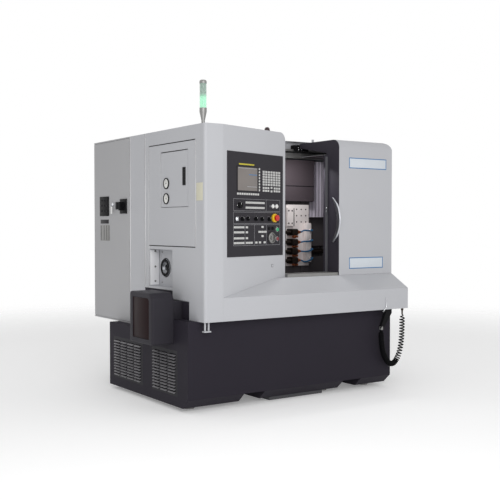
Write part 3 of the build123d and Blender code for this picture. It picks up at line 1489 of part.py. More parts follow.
# Electrical cabinet: a box open to the left, with caps that hold the door's pins
cabinet_pin = (left + CABINET_DOOR_THICKNESS / 2, back - CABINET_PIN_INSET)
with BuildPart() as electrical_cabinet:
    block((left + CABINET_WALL_START, cabinet_right), (cabinet_front, back), (CABINET_BOTTOM, COVER_HEIGHT))
    block(
        (left, cabinet_right - SHEET),
        grown((cabinet_front, back), -SHEET),
        grown((CABINET_BOTTOM, COVER_HEIGHT), -SHEET),
        Mode.SUBTRACT,
    )
    for cap_bottom in (CABINET_BOTTOM, COVER_HEIGHT - CABINET_CAP):
        block((left, cabinet_right), (cabinet_front, back), span(cap_bottom, CABINET_CAP))
    rod(
        (*cabinet_pin, CABINET_BOTTOM + CABINET_CAP - CABINET_PIN_LENGTH),
        UP,
        CABINET_PIN_RADIUS + RUN_GAP,
        COVER_HEIGHT - CABINET_BOTTOM - 2 * (CABINET_CAP - CABINET_PIN_LENGTH),
        Mode.SUBTRACT,
    )
save(electrical_cabinet, "electrical_cabinet")

# Cabinet door on its pins, with a hole for the isolator's shaft
cabinet_door_z = grown((CABINET_BOTTOM + CABINET_CAP, COVER_HEIGHT - CABINET_CAP), -CABINET_DOOR_GAP)
isolator_y = front + ISOLATOR_FROM_FRONT
with BuildPart() as cabinet_door:
    block(
        span(left, CABINET_DOOR_THICKNESS),
        (cabinet_front + SEAM, back),
        cabinet_door_z,
    )
    rod(
        (*cabinet_pin, CABINET_BOTTOM + CABINET_CAP - CABINET_PIN_LENGTH + FIT_GAP),
        UP,
        CABINET_PIN_RADIUS,
        COVER_HEIGHT - CABINET_BOTTOM - 2 * (CABINET_CAP - CABINET_PIN_LENGTH + FIT_GAP),
    )
    rod(
        (left, isolator_y, ISOLATOR_HEIGHT),
        ALONG_X,
        ISOLATOR_SHAFT_RADIUS + RUN_GAP,
        CABINET_DOOR_THICKNESS,
        Mode.SUBTRACT,
    )
save(cabinet_door, "cabinet_door")

# Isolator handle on its shaft
with BuildPart() as isolator_handle:
    rod(
        (left + CABINET_DOOR_THICKNESS, isolator_y, ISOLATOR_HEIGHT),
        ALONG_MINUS_X,
        ISOLATOR_SHAFT_RADIUS,
        CABINET_DOOR_THICKNESS + ISOLATOR_LIFT,
    )
    handle_base = left - ISOLATOR_LIFT
    rod((handle_base, isolator_y, ISOLATOR_HEIGHT), ALONG_MINUS_X, ISOLATOR_RADIUS, ISOLATOR_DEPTH)
    block(
        (handle_base - ISOLATOR_DEPTH - ISOLATOR_GRIP_DEPTH, handle_base),
        about(isolator_y, ISOLATOR_GRIP_WIDTH),
        about(ISOLATOR_HEIGHT, ISOLATOR_GRIP_LENGTH),
    )
save(isolator_handle, "isolator_handle")

# Stack light: tapered base and cap, and two lens tiers between them
light_x = left + LIGHT_FROM_LEFT
light_y = front + LIGHT_FROM_FRONT
lens_bottom = COVER_HEIGHT + LIGHT_BASE_HEIGHT
lens_top = lens_bottom + 2 * LIGHT_TIER_HEIGHT
with BuildPart() as stack_light_base:
    with Locations((light_x, light_y, COVER_HEIGHT)):
        Cone(LIGHT_FOOT_RADIUS, LIGHT_BODY_RADIUS, LIGHT_BASE_HEIGHT, align=FROM_BASE)
    rod((light_x, light_y, lens_bottom), UP, LIGHT_CORE_RADIUS, lens_top - lens_bottom)
    rod((light_x, light_y, lens_top - LIGHT_BAND), UP, LIGHT_BODY_RADIUS, LIGHT_CAP_HEIGHT)
    fillet(stack_light_base.edges().group_by(Axis.Z)[-1], LIGHT_CAP_ROUND)
save(stack_light_base, "stack_light_base")

with BuildPart() as stack_light_lenses:
    for tier in range(2):
        tier_bottom = lens_bottom + tier * LIGHT_TIER_HEIGHT
        rod((light_x, light_y, tier_bottom), UP, LIGHT_LENS_RADIUS, LIGHT_TIER_HEIGHT - LIGHT_BAND)
    rod((light_x, light_y, lens_bottom), UP, LIGHT_CORE_RADIUS, lens_top - lens_bottom, Mode.SUBTRACT)
save(stack_light_lenses, "stack_light_lenses")

# Air line: fitting under the apron, curly hose and air gun
air_y = front + AIR_FROM_FRONT
fitting_x = right - FITTING_FROM_RIGHT
hose_top = COVER_BOTTOM - FITTING_LENGTH
with BuildPart() as hose_fitting:
    with BuildSketch(Plane.XY.offset(COVER_BOTTOM)):
        with Locations((fitting_x, air_y)):
            RegularPolygon(FITTING_NUT_RADIUS, 6)
    extrude(amount=-FITTING_NUT_LENGTH)
    rod(
        (fitting_x, air_y, COVER_BOTTOM - FITTING_NUT_LENGTH),
        DOWN,
        FITTING_BARB_RADIUS,
        FITTING_LENGTH - FITTING_NUT_LENGTH,
    )
save(hose_fitting, "hose_fitting")

# Air gun, hung by its head from the apron's edge, with the hose barb at the end of its grip
gun_x = right - GUN_FROM_RIGHT
hose_end = GUN_GRIP_BOTTOM - GUN_BARB_LENGTH
with BuildPart() as air_gun:
    with BuildSketch(Plane.XZ.offset(-air_y)):
        with BuildLine():
            Polyline(
                (gun_x - GUN_GRIP_WIDTH / 2, GUN_GRIP_BOTTOM),
                (gun_x + GUN_GRIP_WIDTH / 2, GUN_GRIP_BOTTOM),
                (gun_x + GUN_LEAN + GUN_GRIP_WIDTH / 2, COVER_BOTTOM - GUN_HEAD_HEIGHT),
                (gun_x + GUN_LEAN + GUN_GRIP_WIDTH / 2, COVER_BOTTOM),
                (gun_x + GUN_LEAN + GUN_GRIP_WIDTH / 2 - GUN_HEAD_WIDTH, COVER_BOTTOM),
                (gun_x + GUN_LEAN - GUN_HEAD_WIDTH, COVER_BOTTOM - GUN_HEAD_HEIGHT),
                close=True,
            )
        make_face()
    extrude(amount=GUN_THICKNESS / 2, both=True)
    rod((gun_x, air_y, GUN_GRIP_BOTTOM), DOWN, FITTING_BARB_RADIUS, GUN_BARB_LENGTH)
save(air_gun, "air_gun")

# Curly hose as one fat tube: it hangs from the fitting, turns and rises to the gun
hose_points = [
    Vector(fitting_x + across * (gun_x - fitting_x), air_y, hose_top - down * HOSE_DROP)
    for across, down in HOSE_ROUTE_SHARES
]
hose_points.append(Vector(gun_x, air_y, hose_end))
hose_runs = [after - before for before, after in zip(hose_points, hose_points[1:])]
hose_radii = []
for before, after in zip(hose_runs, hose_runs[1:]):
    half_turn = radians(before.get_angle(after)) / 2
    hose_radii.append(HOSE_BEND_SHARE * min(before.length, after.length) / tan(half_turn))
with BuildPart() as air_hose:
    with BuildLine() as hose_line:
        FilletPolyline(*hose_points, radius=hose_radii)
    with BuildSketch(Plane(origin=hose_points[0], z_dir=hose_runs[0])):
        Circle(CURLY_RADIUS)
    sweep(path=hose_line.wires()[0])
save(air_hose, "air_hose")
print("hose runs", [round(run.length) for run in hose_runs])
print("hose radii", [round(radius) for radius in hose_radii])
print("hose length", round(hose_line.wires()[0].length), "volume", round(air_hose.part.volume))
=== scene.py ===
# %% [markdown]
# # A CNC turning lathe, dressed for the studio
# The solids of the machine arrive as a fixed frame in metres. This lesson adds what a solid
# model leaves plain: paint and metal, the control panel's small pieces, louvres, screws,
# gauge faces, the coiled air hose, and a quiet studio around it all.

# %% Load the solids
import math
import bmesh
import bpy
from mathutils import Matrix, Vector


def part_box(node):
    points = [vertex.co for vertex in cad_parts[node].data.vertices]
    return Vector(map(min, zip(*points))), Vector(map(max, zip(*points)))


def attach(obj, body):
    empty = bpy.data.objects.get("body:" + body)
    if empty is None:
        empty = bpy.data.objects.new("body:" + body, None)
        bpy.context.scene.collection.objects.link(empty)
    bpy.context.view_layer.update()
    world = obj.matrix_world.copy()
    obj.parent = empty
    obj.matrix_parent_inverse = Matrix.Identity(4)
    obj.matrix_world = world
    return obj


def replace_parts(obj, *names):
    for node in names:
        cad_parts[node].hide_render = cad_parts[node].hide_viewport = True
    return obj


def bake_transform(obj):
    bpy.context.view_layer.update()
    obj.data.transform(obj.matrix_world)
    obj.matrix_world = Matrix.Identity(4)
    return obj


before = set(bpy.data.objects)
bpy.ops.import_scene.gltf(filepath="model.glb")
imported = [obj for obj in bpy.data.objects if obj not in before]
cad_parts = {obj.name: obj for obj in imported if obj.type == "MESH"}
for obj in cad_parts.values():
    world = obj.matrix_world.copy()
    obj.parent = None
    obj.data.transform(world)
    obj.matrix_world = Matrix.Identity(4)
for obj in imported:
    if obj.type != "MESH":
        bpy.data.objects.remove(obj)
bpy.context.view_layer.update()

# %% [markdown]
# A drawing of the machine gives places in millimetres from the left cover, from the front lip
# and from the floor. One function turns such a place into the frame's metres, so every piece
# below is written in the drawing's own numbers. The edges come from the solids themselves. A
# second function puts an object with some data in the scene.

# %% Places on the machine
MM = 0.001
cover_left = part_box("left_cover")[0][0]
lip_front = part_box("front_apron")[0][1]


def at(x, y, z):
    """A place given in millimetres from the left cover, the front lip and the floor."""
    return Vector((cover_left + x * MM, lip_front + y * MM, z * MM))


def put(name, data):
    """A new object for some data, linked into the scene."""
    made = bpy.data.objects.new(name, data)
    bpy.context.collection.objects.link(made)
    return made


print("left cover", round(cover_left, 3), "front lip", round(lip_front, 3))

# %% [markdown]
# The camera stands where the photographer stood: in front and to the left, a little above the
# spindle's height, with a long lens. Its height, turn and tilt were worked out from the
# machine's own upright and level edges.

# %% Camera
CAMERA_PLACE = (-2774, -4555, 1191)
CAMERA_TURN = math.radians(-34.36)
CAMERA_TILT = math.radians(90 - 1.65)
LENS_PER_FRAME = 858 / 500
SENSOR_WIDTH = 36.0

camera_data = bpy.data.cameras.new("studio_camera")
camera_data.sensor_width = SENSOR_WIDTH
camera_data.lens = SENSOR_WIDTH * LENS_PER_FRAME
camera = put("studio_camera", camera_data)
camera.location = at(*CAMERA_PLACE)
camera.rotation_euler = (CAMERA_TILT, 0.0, CAMERA_TURN)
bpy.context.scene.camera = camera
print("camera", [round(c, 2) for c in camera.location], "lens", round(camera_data.lens, 1))

# %% [markdown]
# Materials and Geometry Nodes trees are both graphs of nodes. One small class adds a node to
# either: its settings go in first, then the values or links of its sockets. What it returns is
# a wrapped output socket, and plain arithmetic on that socket adds Math nodes, so a formula
# reads as a formula.

# %% Nodes as expressions


class Socket:
    """An output of a node. Arithmetic on it adds Math nodes to the same graph."""

    def __init__(self, graph, socket):
        self.graph = graph
        self.socket = socket

    def _math(self, operation, first, second):
        return self.graph.node("ShaderNodeMath", {"operation": operation}, {0: first, 1: second})

    def __add__(self, other):
        return self._math("ADD", self, other)

    __radd__ = __add__

    def __sub__(self, other):
        return self._math("SUBTRACT", self, other)

    def __rsub__(self, other):
        return self._math("SUBTRACT", other, self)

    def __mul__(self, other):
        return self._math("MULTIPLY", self, other)

    __rmul__ = __mul__

    def ramp(self, low, high):
        """A smooth step from 0 at low to 1 at high."""
        settings = {"interpolation_type": "SMOOTHSTEP"}
        sockets = {"Value": self, "From Min": low, "From Max": high}
        return self.graph.node("ShaderNodeMapRange", settings, sockets)


class Graph:
    """A node tree with one way to add a node."""

    def __init__(self, tree):
        self.tree = tree

    def node(self, kind, settings=None, sockets=None, output=0):
        made = self.tree.nodes.new(kind)
        for name, value in (settings or {}).items():
            setattr(made, name, value)
        for name, value in (sockets or {}).items():
            if isinstance(value, Socket):
                self.tree.links.new(value.socket, made.inputs[name])
            else:
                made.inputs[name].default_value = value
        return Socket(self, made.outputs[output]) if len(made.outputs) else None


def srgb(red, green, blue):
    """A colour as read on a screen, 0 to 255, as the linear colour a shader wants."""
    shares = [c / 255 for c in (red, green, blue)]
    linear = [s / 12.92 if s <= 0.04045 else ((s + 0.055) / 1.055) ** 2.4 for s in shares]
    return (*linear, 1.0)


class Finish(Graph):
    """A material with one Principled surface and patterns on Object coordinates."""

    def __init__(self, name):
        self.material = bpy.data.materials.new(name)
        self.material.use_nodes = True
        super().__init__(self.material.node_tree)
        self.tree.nodes.clear()
        self.place = self.node("ShaderNodeTexCoord", output="Object")

    def noise(self, scale, detail=2.0, stretch=None):
        place = self.place
        if stretch:
            place = self.node("ShaderNodeMapping", None, {"Vector": place, "Scale": stretch})
        sockets = {"Vector": place, "Scale": scale, "Detail": detail}
        return self.node("ShaderNodeTexNoise", None, sockets)

    def height(self):
        """The height over the floor, in metres."""
        return self.node("ShaderNodeSeparateXYZ", None, {"Vector": self.place}, "Z")

    def mix(self, share, first, second):
        sockets = {0: share, 6: first, 7: second}
        return self.node("ShaderNodeMix", {"data_type": "RGBA"}, sockets, 2)

    def bump(self, height, distance, strength=1.0, edge=0.0):
        sockets = {"Height": height, "Distance": distance, "Strength": strength}
        if edge:
            sockets["Normal"] = self.node("ShaderNodeBevel", {"samples": 4}, {"Radius": edge})
        return self.node("ShaderNodeBump", None, sockets)

    def surface(self, **sockets):
        named = {name.replace("_", " "): value for name, value in sockets.items()}
        shader = self.node("ShaderNodeBsdfPrincipled", None, named)
        self.node("ShaderNodeOutputMaterial", None, {"Surface": shader})
        return self.material


print("node helpers ready")

# %% [markdown]
# Sheet-metal covers are powder coated: an even colour with a faint orange peel that only shows
# in the highlights, and folded edges that are never quite sharp. A Bevel node rounds the
# shading at the edges, a fine noise makes the peel, and a broad noise keeps large panels from
# looking like flat fills. A little grime gathers towards the floor.

# %% Painted finishes


def powder_coat(name, colour, grimy, gloss=0.42, peel=520, depth=0.00012, edge=0.003, shine=0.5):
    """Powder coat: colour, soiled colour, roughness, peel's scale and depth, edge rounding."""
    finish = Finish(name)
    broad = finish.noise(2.6, 3.0)
    fine = finish.noise(peel, 1.0)
    soil = (1 - finish.height().ramp(0.0, 0.9)) * 0.35 + broad * 0.22
    return finish.surface(
        Base_Color=finish.mix(soil, srgb(*colour), srgb(*grimy)),
        Roughness=gloss + broad * 0.12,
        Specular_IOR_Level=shine,
        Normal=finish.bump(fine, depth, 0.6, edge),
    )


DIM = 0.22
cover_paint = powder_coat("cover_paint", (190, 191, 195), (174, 175, 180), shine=0.4)
cabinet_paint = powder_coat("cabinet_paint", (175, 175, 177), (162, 162, 165), shine=0.4)
# A near-white coat that paints highlights: the pale folded edges and the lit wall of the pocket.
trim_paint = powder_coat("trim_paint", (243, 243, 245), (236, 236, 238))
base_paint = powder_coat("base_paint", (46, 43, 51), (39, 36, 43), 0.5, 900, 0.0003, shine=0.08)
motor_cover_paint = powder_coat(
    "motor_cover_paint", (50, 48, 54), (43, 41, 47), 0.4, 700, shine=0.1
)
vent_paint = powder_coat("vent_paint", (38, 37, 42), (28, 27, 31), 0.5, 900, 0.0003, 0.001, DIM)
tank_paint = powder_coat("tank_paint", (70, 70, 74), (48, 48, 50), 0.5)
motor_paint = powder_coat("motor_paint", (40, 41, 44), (28, 28, 30), 0.45, shine=DIM)
casting_paint = powder_coat(
    "casting_paint", (72, 68, 70), (54, 50, 52), 0.5, 160, 0.0006, shine=DIM
)
liner_paint = powder_coat("liner_paint", (150, 150, 156), (118, 116, 120), 0.36)
shade_paint = powder_coat("shade_paint", (60, 53, 57), (52, 46, 49), 0.4, shine=DIM)
door_edge_paint = powder_coat("door_edge_paint", (58, 55, 63), (51, 48, 55), 0.5, shine=0.14)
print("painted finishes made, materials so far", len(bpy.data.materials))

# %% [markdown]
# Ground and brushed steel gets its look from fine parallel scratches. A noise that is squeezed
# along one axis gives those lines. Turned parts and chrome are smoother, and the black oxide of
# the tool holders is a dark metal with brown warmth where coolant dries on it.

# %% Metal finishes
ALONG_X, ALONG_Z = (1.0, 14.0, 14.0), (14.0, 14.0, 1.0)


def metal(name, colour, tint, roughness, scale=40.0, stretch=ALONG_X, metallic=1.0):
    """Metal with fine scratches along one axis and cloudy changes of tint."""
    finish = Finish(name)
    lines = finish.noise(scale, 3.0, stretch)
    clouds = finish.noise(9.0, 2.0)
    return finish.surface(
        Base_Color=finish.mix(clouds * 0.6, srgb(*colour), srgb(*tint)),
        Metallic=metallic,
        Roughness=roughness + lines * 0.16,
        Normal=finish.bump(lines, 0.00005, 0.5, 0.0012),
    )


ground_steel = metal("ground_steel", (198, 199, 202), (172, 174, 178), 0.3)
bright_steel = metal("bright_steel", (214, 215, 218), (196, 197, 200), 0.16, 90.0)
plated_steel = metal("plated_steel", (150, 150, 150), (120, 118, 112), 0.38, 30.0)
oxide_steel = metal("oxide_steel", (74, 64, 58), (46, 42, 42), 0.34, 60.0)
handle_metal = metal("handle_metal", (208, 209, 214), (190, 192, 198), 0.24, 60.0, ALONG_Z)
copper = metal("copper", (196, 118, 82), (150, 82, 56), 0.3, 80.0)
slide_steel = metal("slide_steel", (226, 218, 216), (208, 200, 199), 0.34, metallic=0.35)
# A pale metal that paints the highlight on the louvre lips.
blade_steel = metal("blade_steel", (150, 148, 152), (118, 116, 120), 0.4, metallic=0.4)
print("metal finishes made, materials so far", len(bpy.data.materials))

# %% [markdown]
# Moulded plastic and rubber have a fine spark-eroded texture and soft broad highlights. Lit
# caps and lenses are glossier, and the lenses let light through.

# %% Plastic, rubber and lens finishes


def moulded(name, colour, tint, roughness, grain=1400.0, depth=0.00008, shine=0.5):
    """Moulded plastic or rubber: a fine grain in gloss and relief, and a cloudy tint."""
    finish = Finish(name)
    texture = finish.noise(grain, 1.0)
    clouds = finish.noise(14.0, 2.0)
    return finish.surface(
        Base_Color=finish.mix(clouds * 0.5, srgb(*colour), srgb(*tint)),
        Roughness=roughness + texture * 0.12,
        Specular_IOR_Level=shine,
        Normal=finish.bump(texture, depth, 0.5, 0.0008),
    )


panel_plastic = moulded("panel_plastic", (47, 45, 50), (42, 40, 44), 0.42, shine=0.16)
black_plastic = moulded("black_plastic", (22, 22, 24), (16, 16, 18), 0.4, shine=0.07)
rubber_black = moulded("rubber_black", (22, 22, 23), (17, 17, 17), 0.6, 700.0, 0.0002, DIM)
hose_plastic = moulded("hose_plastic", (15, 15, 17), (10, 10, 12), 0.55, 500.0, shine=0.06)
blue_hose = moulded("blue_hose", (20, 78, 116), (14, 58, 90), 0.3, 600.0)
window_plastic = moulded("window_plastic", (36, 16, 18), (17, 11, 14), 0.3, 300.0, 0.00002, 0.06)
knob_plastic = moulded("knob_plastic", (52, 24, 28), (34, 18, 20), 0.25)
key_plastic = moulded("key_plastic", (206, 206, 204), (188, 188, 188), 0.4)
legend_ink = moulded("legend_ink", (92, 92, 96), (70, 70, 74), 0.5)
line_ink = moulded("line_ink", (168, 168, 172), (146, 146, 150), 0.5)
red_cap = moulded("red_cap", (206, 32, 30), (176, 22, 22), 0.24)
dull_red = moulded("dull_red", (134, 40, 48), (108, 30, 38), 0.35)
green_cap = moulded("green_cap", (34, 176, 112), (24, 140, 88), 0.22)
white_cap = moulded("white_cap", (240, 240, 238), (226, 226, 224), 0.24)
yellow_ring = moulded("yellow_ring", (240, 196, 30), (222, 172, 18), 0.3)
strip_gold = moulded("strip_gold", (196, 184, 52), (176, 160, 40), 0.4)
plate_white = moulded("plate_white", (214, 220, 226), (200, 208, 216), 0.35)
plate_cream = moulded("plate_cream", (214, 211, 190), (204, 200, 178), 0.45)
plate_blue = moulded("plate_blue", (62, 122, 174), (48, 104, 156), 0.35)
dial_white = moulded("dial_white", (232, 232, 228), (220, 220, 216), 0.4)
bezel_plastic = moulded("bezel_plastic", (40, 39, 42), (32, 31, 34), 0.34, shine=0.12)


def bellows_cloth():
    """Coated cloth: a fine weave and a cloudy tint."""
    finish = Finish("bellows_cloth")
    weave = finish.noise(900.0, 1.0)
    clouds = finish.noise(7.0, 2.0)
    return finish.surface(
        Base_Color=finish.mix(clouds * 0.7, srgb(194, 187, 199), srgb(170, 163, 175)),
        Roughness=0.55 + weave * 0.2,
        Normal=finish.bump(weave, 0.0002, 0.5),
    )


def signal_lens(name, clear, lit, edge):
    """A ribbed lens: clear above a height, glowing below it."""
    finish = Finish(name)
    sockets = {"Vector": finish.place, "Scale": 60.0}
    ribs = finish.node("ShaderNodeTexWave", {"bands_direction": "Z"}, sockets, 1)
    glow = 1 - finish.height().ramp(edge - 0.02, edge + 0.02)
    colour = finish.mix(glow, finish.mix(ribs * 0.4, clear, lit), lit)
    return finish.surface(
        Base_Color=colour,
        Roughness=0.16 + ribs * 0.1,
        Transmission_Weight=0.45,
        Emission_Color=finish.mix(glow, (0.02, 0.035, 0.03, 1.0), lit),
        Emission_Strength=0.32,
        Normal=finish.bump(ribs, 0.0006, 0.6),
    )


def screen_glass():
    """A switched-on display: a warm grey picture, a little uneven, under glossy glass."""
    finish = Finish("screen_glass")
    glow = finish.noise(5.0, 1.0)
    picture = finish.mix(glow, srgb(98, 92, 90), srgb(122, 116, 112))
    return finish.surface(
        Base_Color=picture,
        Roughness=0.18 + glow * 0.08,
        Emission_Color=picture,
        Emission_Strength=0.12,
    )


bellows_finish = bellows_cloth()
lens_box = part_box("stack_light_lenses")
tier_edge = (lens_box[0][2] + lens_box[1][2]) / 2
green_lens = signal_lens("green_lens", srgb(180, 194, 187), srgb(172, 226, 198), tier_edge)
screen_finish = screen_glass()
print("all finishes made, materials so far", len(bpy.data.materials))

# %% [markdown]
# Every solid gets a finish by name. The solids carry their own material slots, so a finish is
# simply put in the slot of the node's object. Solids that get a new mesh further down are
# dressed there.

# %% Finishes on the solids
NODE_FINISHES = {
    cover_paint: (
        "left_cover service_cover gauge_door console_housing front_apron roof_cover "
        "right_enclosure"
    ),
    cabinet_paint: "electrical_cabinet cabinet_door",
    vent_paint: "vent_panels",
    tank_paint: "coolant_tank",
    motor_paint: "spindle_motor z_servo_motor",
    casting_paint: "bed_casting headstock saddle",
    liner_paint: "work_area_liner",
    ground_steel: "draw_cylinder spindle_pulley motor_pulley",
    bright_steel: "spindle key_switch",
    plated_steel: "levelling_feet door_rails",
    oxide_steel: "z_ball_screw hose_fitting",
    handle_metal: "door_handle",
    panel_plastic: "control_panel",
    bezel_plastic: "display",
    key_plastic: "panel_keys",
    black_plastic: (
        "knob_one knob_two knob_three knob_four knob_five mode_dial gauge_door_latch "
        "pressure_gauges isolator_handle air_gun"
    ),
    rubber_black: "drive_belt",
    dull_red: "hold_button",
    green_cap: "start_button",
}
dressed = [(node, finish) for finish, nodes in NODE_FINISHES.items() for node in nodes.split()]
for node, finish in dressed:
    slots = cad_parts[node].data.materials
    slots.clear()
    slots.append(finish)
print("finishes on", len(dressed), "of", len(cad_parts), "solids")

# %% [markdown]
# Small pieces are drawn with two bmesh strokes: a block with softened edges, and a turned form
# from a profile of radius and height. A third function makes the finished mesh an object that
# moves with its body, and two more make a whole piece from like blocks or like turned forms.
# What Blender draws for a curve or a modifier can also be kept as a plain mesh.

# %% Mesh strokes
SAME_PLACE = 1e-6
SHARP_ANGLE = math.radians(35)


def block(mesh, low, high, soften=0.0):
    """A box between two corners, with its edges rounded off a little."""
    corners = bmesh.ops.create_cube(mesh, size=1.0)["verts"]
    middle = (Vector(low) + Vector(high)) / 2
    size = Vector(high) - Vector(low)
    for corner in corners:
        corner.co = Vector(c * s for c, s in zip(corner.co, size)) + middle
    if soften:
        edges = list({edge for corner in corners for edge in corner.link_edges})
        bmesh.ops.bevel(mesh, geom=edges, offset=soften, segments=2, profile=0.5, affect="EDGES")


def bridge(mesh, rings):
    """Faces from each ring of corners to the next. A ring of one corner is a tip."""
    for lower, upper in zip(rings, rings[1:]):
        count = max(len(lower), len(upper))
        for step in range(count):
            after = (step + 1) % count
            if len(lower) == 1:
                mesh.faces.new((lower[0], upper[after], upper[step]))
            elif len(upper) == 1:
                mesh.faces.new((lower[step], lower[after], upper[0]))
            else:
                mesh.faces.new((lower[step], lower[after], upper[after], upper[step]))


def turned(mesh, foot, axis, profile, segments=32):
    """A solid of revolution: (radius, height) pairs from its foot along an axis."""
    axis = Vector(axis).normalized()
    side = axis.orthogonal().normalized()
    across = axis.cross(side)
    rings = []
    for radius, height in profile:
        centre = Vector(foot) + axis * height
        if radius == 0:
            rings.append([mesh.verts.new(centre)])
            continue
        angles = [2 * math.pi * step / segments for step in range(segments)]
        ring = [centre + (side * math.cos(a) + across * math.sin(a)) * radius for a in angles]
        rings.append([mesh.verts.new(point) for point in ring])
    bridge(mesh, rings)


def disc_profile(radius, height, edge=0.0):
    """A plain turned disc with a small rounding at its top edge."""
    return [(0, 0), (radius, 0), (radius, height - edge), (radius - edge, height), (0, height)]


def ring_profile(inner, outer, height, edge=0.0):
    """A turned ring, closed on itself."""
    outside = [(outer, 0), (outer, height - edge), (outer - edge, height)]
    return [(inner, 0), *outside, (inner, height), (inner, 0)]


def finished(name, mesh, body, slot, material, place=None, smooth=True):
    """Make a drawn mesh a piece that moves with a body, or with no body if none is given."""
    bmesh.ops.remove_doubles(mesh, verts=mesh.verts, dist=SAME_PLACE)
    bmesh.ops.recalc_face_normals(mesh, faces=mesh.faces)
    data = bpy.data.meshes.new(name)
    mesh.to_mesh(data)
    mesh.free()
    if place is not None:
        data.transform(place)
    data.materials.append(material)
    if smooth:
        data.shade_smooth()
        data.set_sharp_from_angle(angle=SHARP_ANGLE)
    piece = put(name, data)
    if body:
        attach(piece, body)
    return piece


def slabs(name, corners, soften, body, slot, material, **how):
    """A piece of softened blocks, each between two corners."""
    mesh = bmesh.new()
    for low, high in corners:
        block(mesh, low, high, soften)
    return finished(name, mesh, body, slot, material, **how)


def turnings(name, feet, axis, profile, body, slot, material, segments=32, **how):
    """A piece of like turned forms, one on each foot."""
    mesh = bmesh.new()
    for foot in feet:
        turned(mesh, foot, axis, profile, segments)
    return finished(name, mesh, body, slot, material, **how)


def drawn_mesh(made):
    """A plain mesh of what is drawn for an object, with its curve or modifiers worked out."""
    depsgraph = bpy.context.evaluated_depsgraph_get()
    return bpy.data.meshes.new_from_object(made.evaluated_get(depsgraph))


print("mesh strokes ready")

# %% [markdown]
# Some solids are a little plainer than the machine in the photograph, so mended copies of their
# meshes take their places. Corners above a height or beyond an edge are moved: the door's top
# is higher, the tool holders are shorter, and the clamp plate sits further left. On the base
# a cut sets the riser back, flush with the cover, and lets the cover's tail reach down.

# %% Mended copies of solids
DOOR_TOP, DOOR_LIFT = 1.72, 0.015
CARRIAGE_TOP, CARRIAGE_LIFT = 1.77, 0.010
HOLDER_BACK, HOLDER_CUT = 1190, 0.040
CLAMP_X, CLAMP_Z, CLAMP_DEPTH, CLAMP_SHIFT = (1150, 1220), (1.18, 1.33), 0.010, -0.008
COVER_HEM, COVER_DROP = 0.005, 0.020
RISER_CUTS = (((-90, 150, 582), (0, 800, 790)), ((-90, 802, 483), (3, 1036.5, 590)))
slide_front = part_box("coolant_lines")[1][1]
cover_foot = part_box("saddle_cover")[0][2]


def mended(node, change, body, slot, material, cutter=None):
    """A copy of a solid with its corners moved or a cutter taken away, in the solid's place."""
    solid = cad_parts[node]
    plain = solid.data.copy()
    plain.materials.clear()
    if "custom_normal" in plain.attributes:
        plain.attributes.remove(plain.attributes["custom_normal"])
    mesh = bmesh.new()
    mesh.from_mesh(plain)
    mesh.transform(solid.matrix_world)
    bpy.data.meshes.remove(plain)
    for corner in mesh.verts:
        corner.co += Vector(change(corner.co))
    if cutter:
        bmesh.ops.remove_doubles(mesh, verts=mesh.verts, dist=SAME_PLACE)
        mesh = cut_away(mesh, cutter)
    piece = finished(f"{node}_mended", mesh, body, slot, material)
    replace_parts(piece, node)
    return piece


def cut_away(mesh, cutter):
    """Take one drawn mesh away from another with a Boolean modifier."""
    pair = []
    for name, drawn in (("kept", mesh), ("cutter", cutter)):
        data = bpy.data.meshes.new(name)
        bmesh.ops.recalc_face_normals(drawn, faces=drawn.faces)
        drawn.to_mesh(data)
        drawn.free()
        pair.append(put(name, data))
    modifier = pair[0].modifiers.new("cut", "BOOLEAN")
    modifier.operation = "DIFFERENCE"
    modifier.object = pair[1]
    result = bmesh.new()
    result.from_object(pair[0], bpy.context.evaluated_depsgraph_get())
    for made in pair:
        bpy.data.objects.remove(made)
    return result


def unmoved(corner):
    return (0, 0, 0)


def up_over(height, lift):
    """A change that lifts what is above a height."""
    return lambda corner: (0, 0, lift if corner.z > height else 0)


def shorter_holder(corner):
    return (-HOLDER_CUT if corner.x > at(HOLDER_BACK, 0, 0).x else 0, 0, 0)


def shifted_clamp(corner):
    """The clamp plate's corners lie in a small box at the front of the slide."""
    left, right = (at(x, 0, 0).x for x in CLAMP_X)
    inside = left < corner.x < right and CLAMP_Z[0] < corner.z < CLAMP_Z[1]
    return (CLAMP_SHIFT if inside and corner.y < slide_front + CLAMP_DEPTH else 0, 0, 0)


def longer_cover(corner):
    return (0, 0, -COVER_DROP if corner.z < cover_foot + COVER_HEM else 0)


riser_room = bmesh.new()
for low, high in RISER_CUTS:
    block(riser_room, at(*low), at(*high))
door_up = up_over(DOOR_TOP, DOOR_LIFT)
MENDS = (
    ("door_shell", door_up, "door", "cover_grey", cover_paint),
    ("door_end_plate", door_up, "door", "door_dark", door_edge_paint),
    ("door_carriage", up_over(CARRIAGE_TOP, CARRIAGE_LIFT), "door", "knob_black", black_plastic),
    ("tool_holders", shorter_holder, "cross_slide", "ground_steel", oxide_steel),
    ("gang_slide", shifted_clamp, "cross_slide", "ground_steel", slide_steel),
    ("saddle_cover", longer_cover, "saddle_body", "liner_grey", shade_paint),
    ("base_frame", unmoved, "machine", "base_charcoal", base_paint, riser_room),
)
for mend in MENDS:
    mended(*mend)
print("mended copies", len(MENDS))

# %% [markdown]
# The bellows is a folded cloth cover over the ways. On the machine its left end goes with the
# saddle and its right end stays on the wall. Here a copy of it is made with no body, and its
# place is baked into its mesh.

# %% Bellows
bellows_low, bellows_high = (Vector(corner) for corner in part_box("bellows"))


def folds_with_saddle(piece):
    """Bake a piece's place into its mesh."""
    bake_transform(piece)


folds_with_saddle(mended("bellows", unmoved, None, "bellows_grey", bellows_finish))
print("bellows", round(bellows_high.x - bellows_low.x, 3), "m long")

# %% [markdown]
# The motor cover is drawn anew as a row of rounded outlines: its side, its softened rim, and a
# set-back window. A neck joins it to the riser above the ledge.

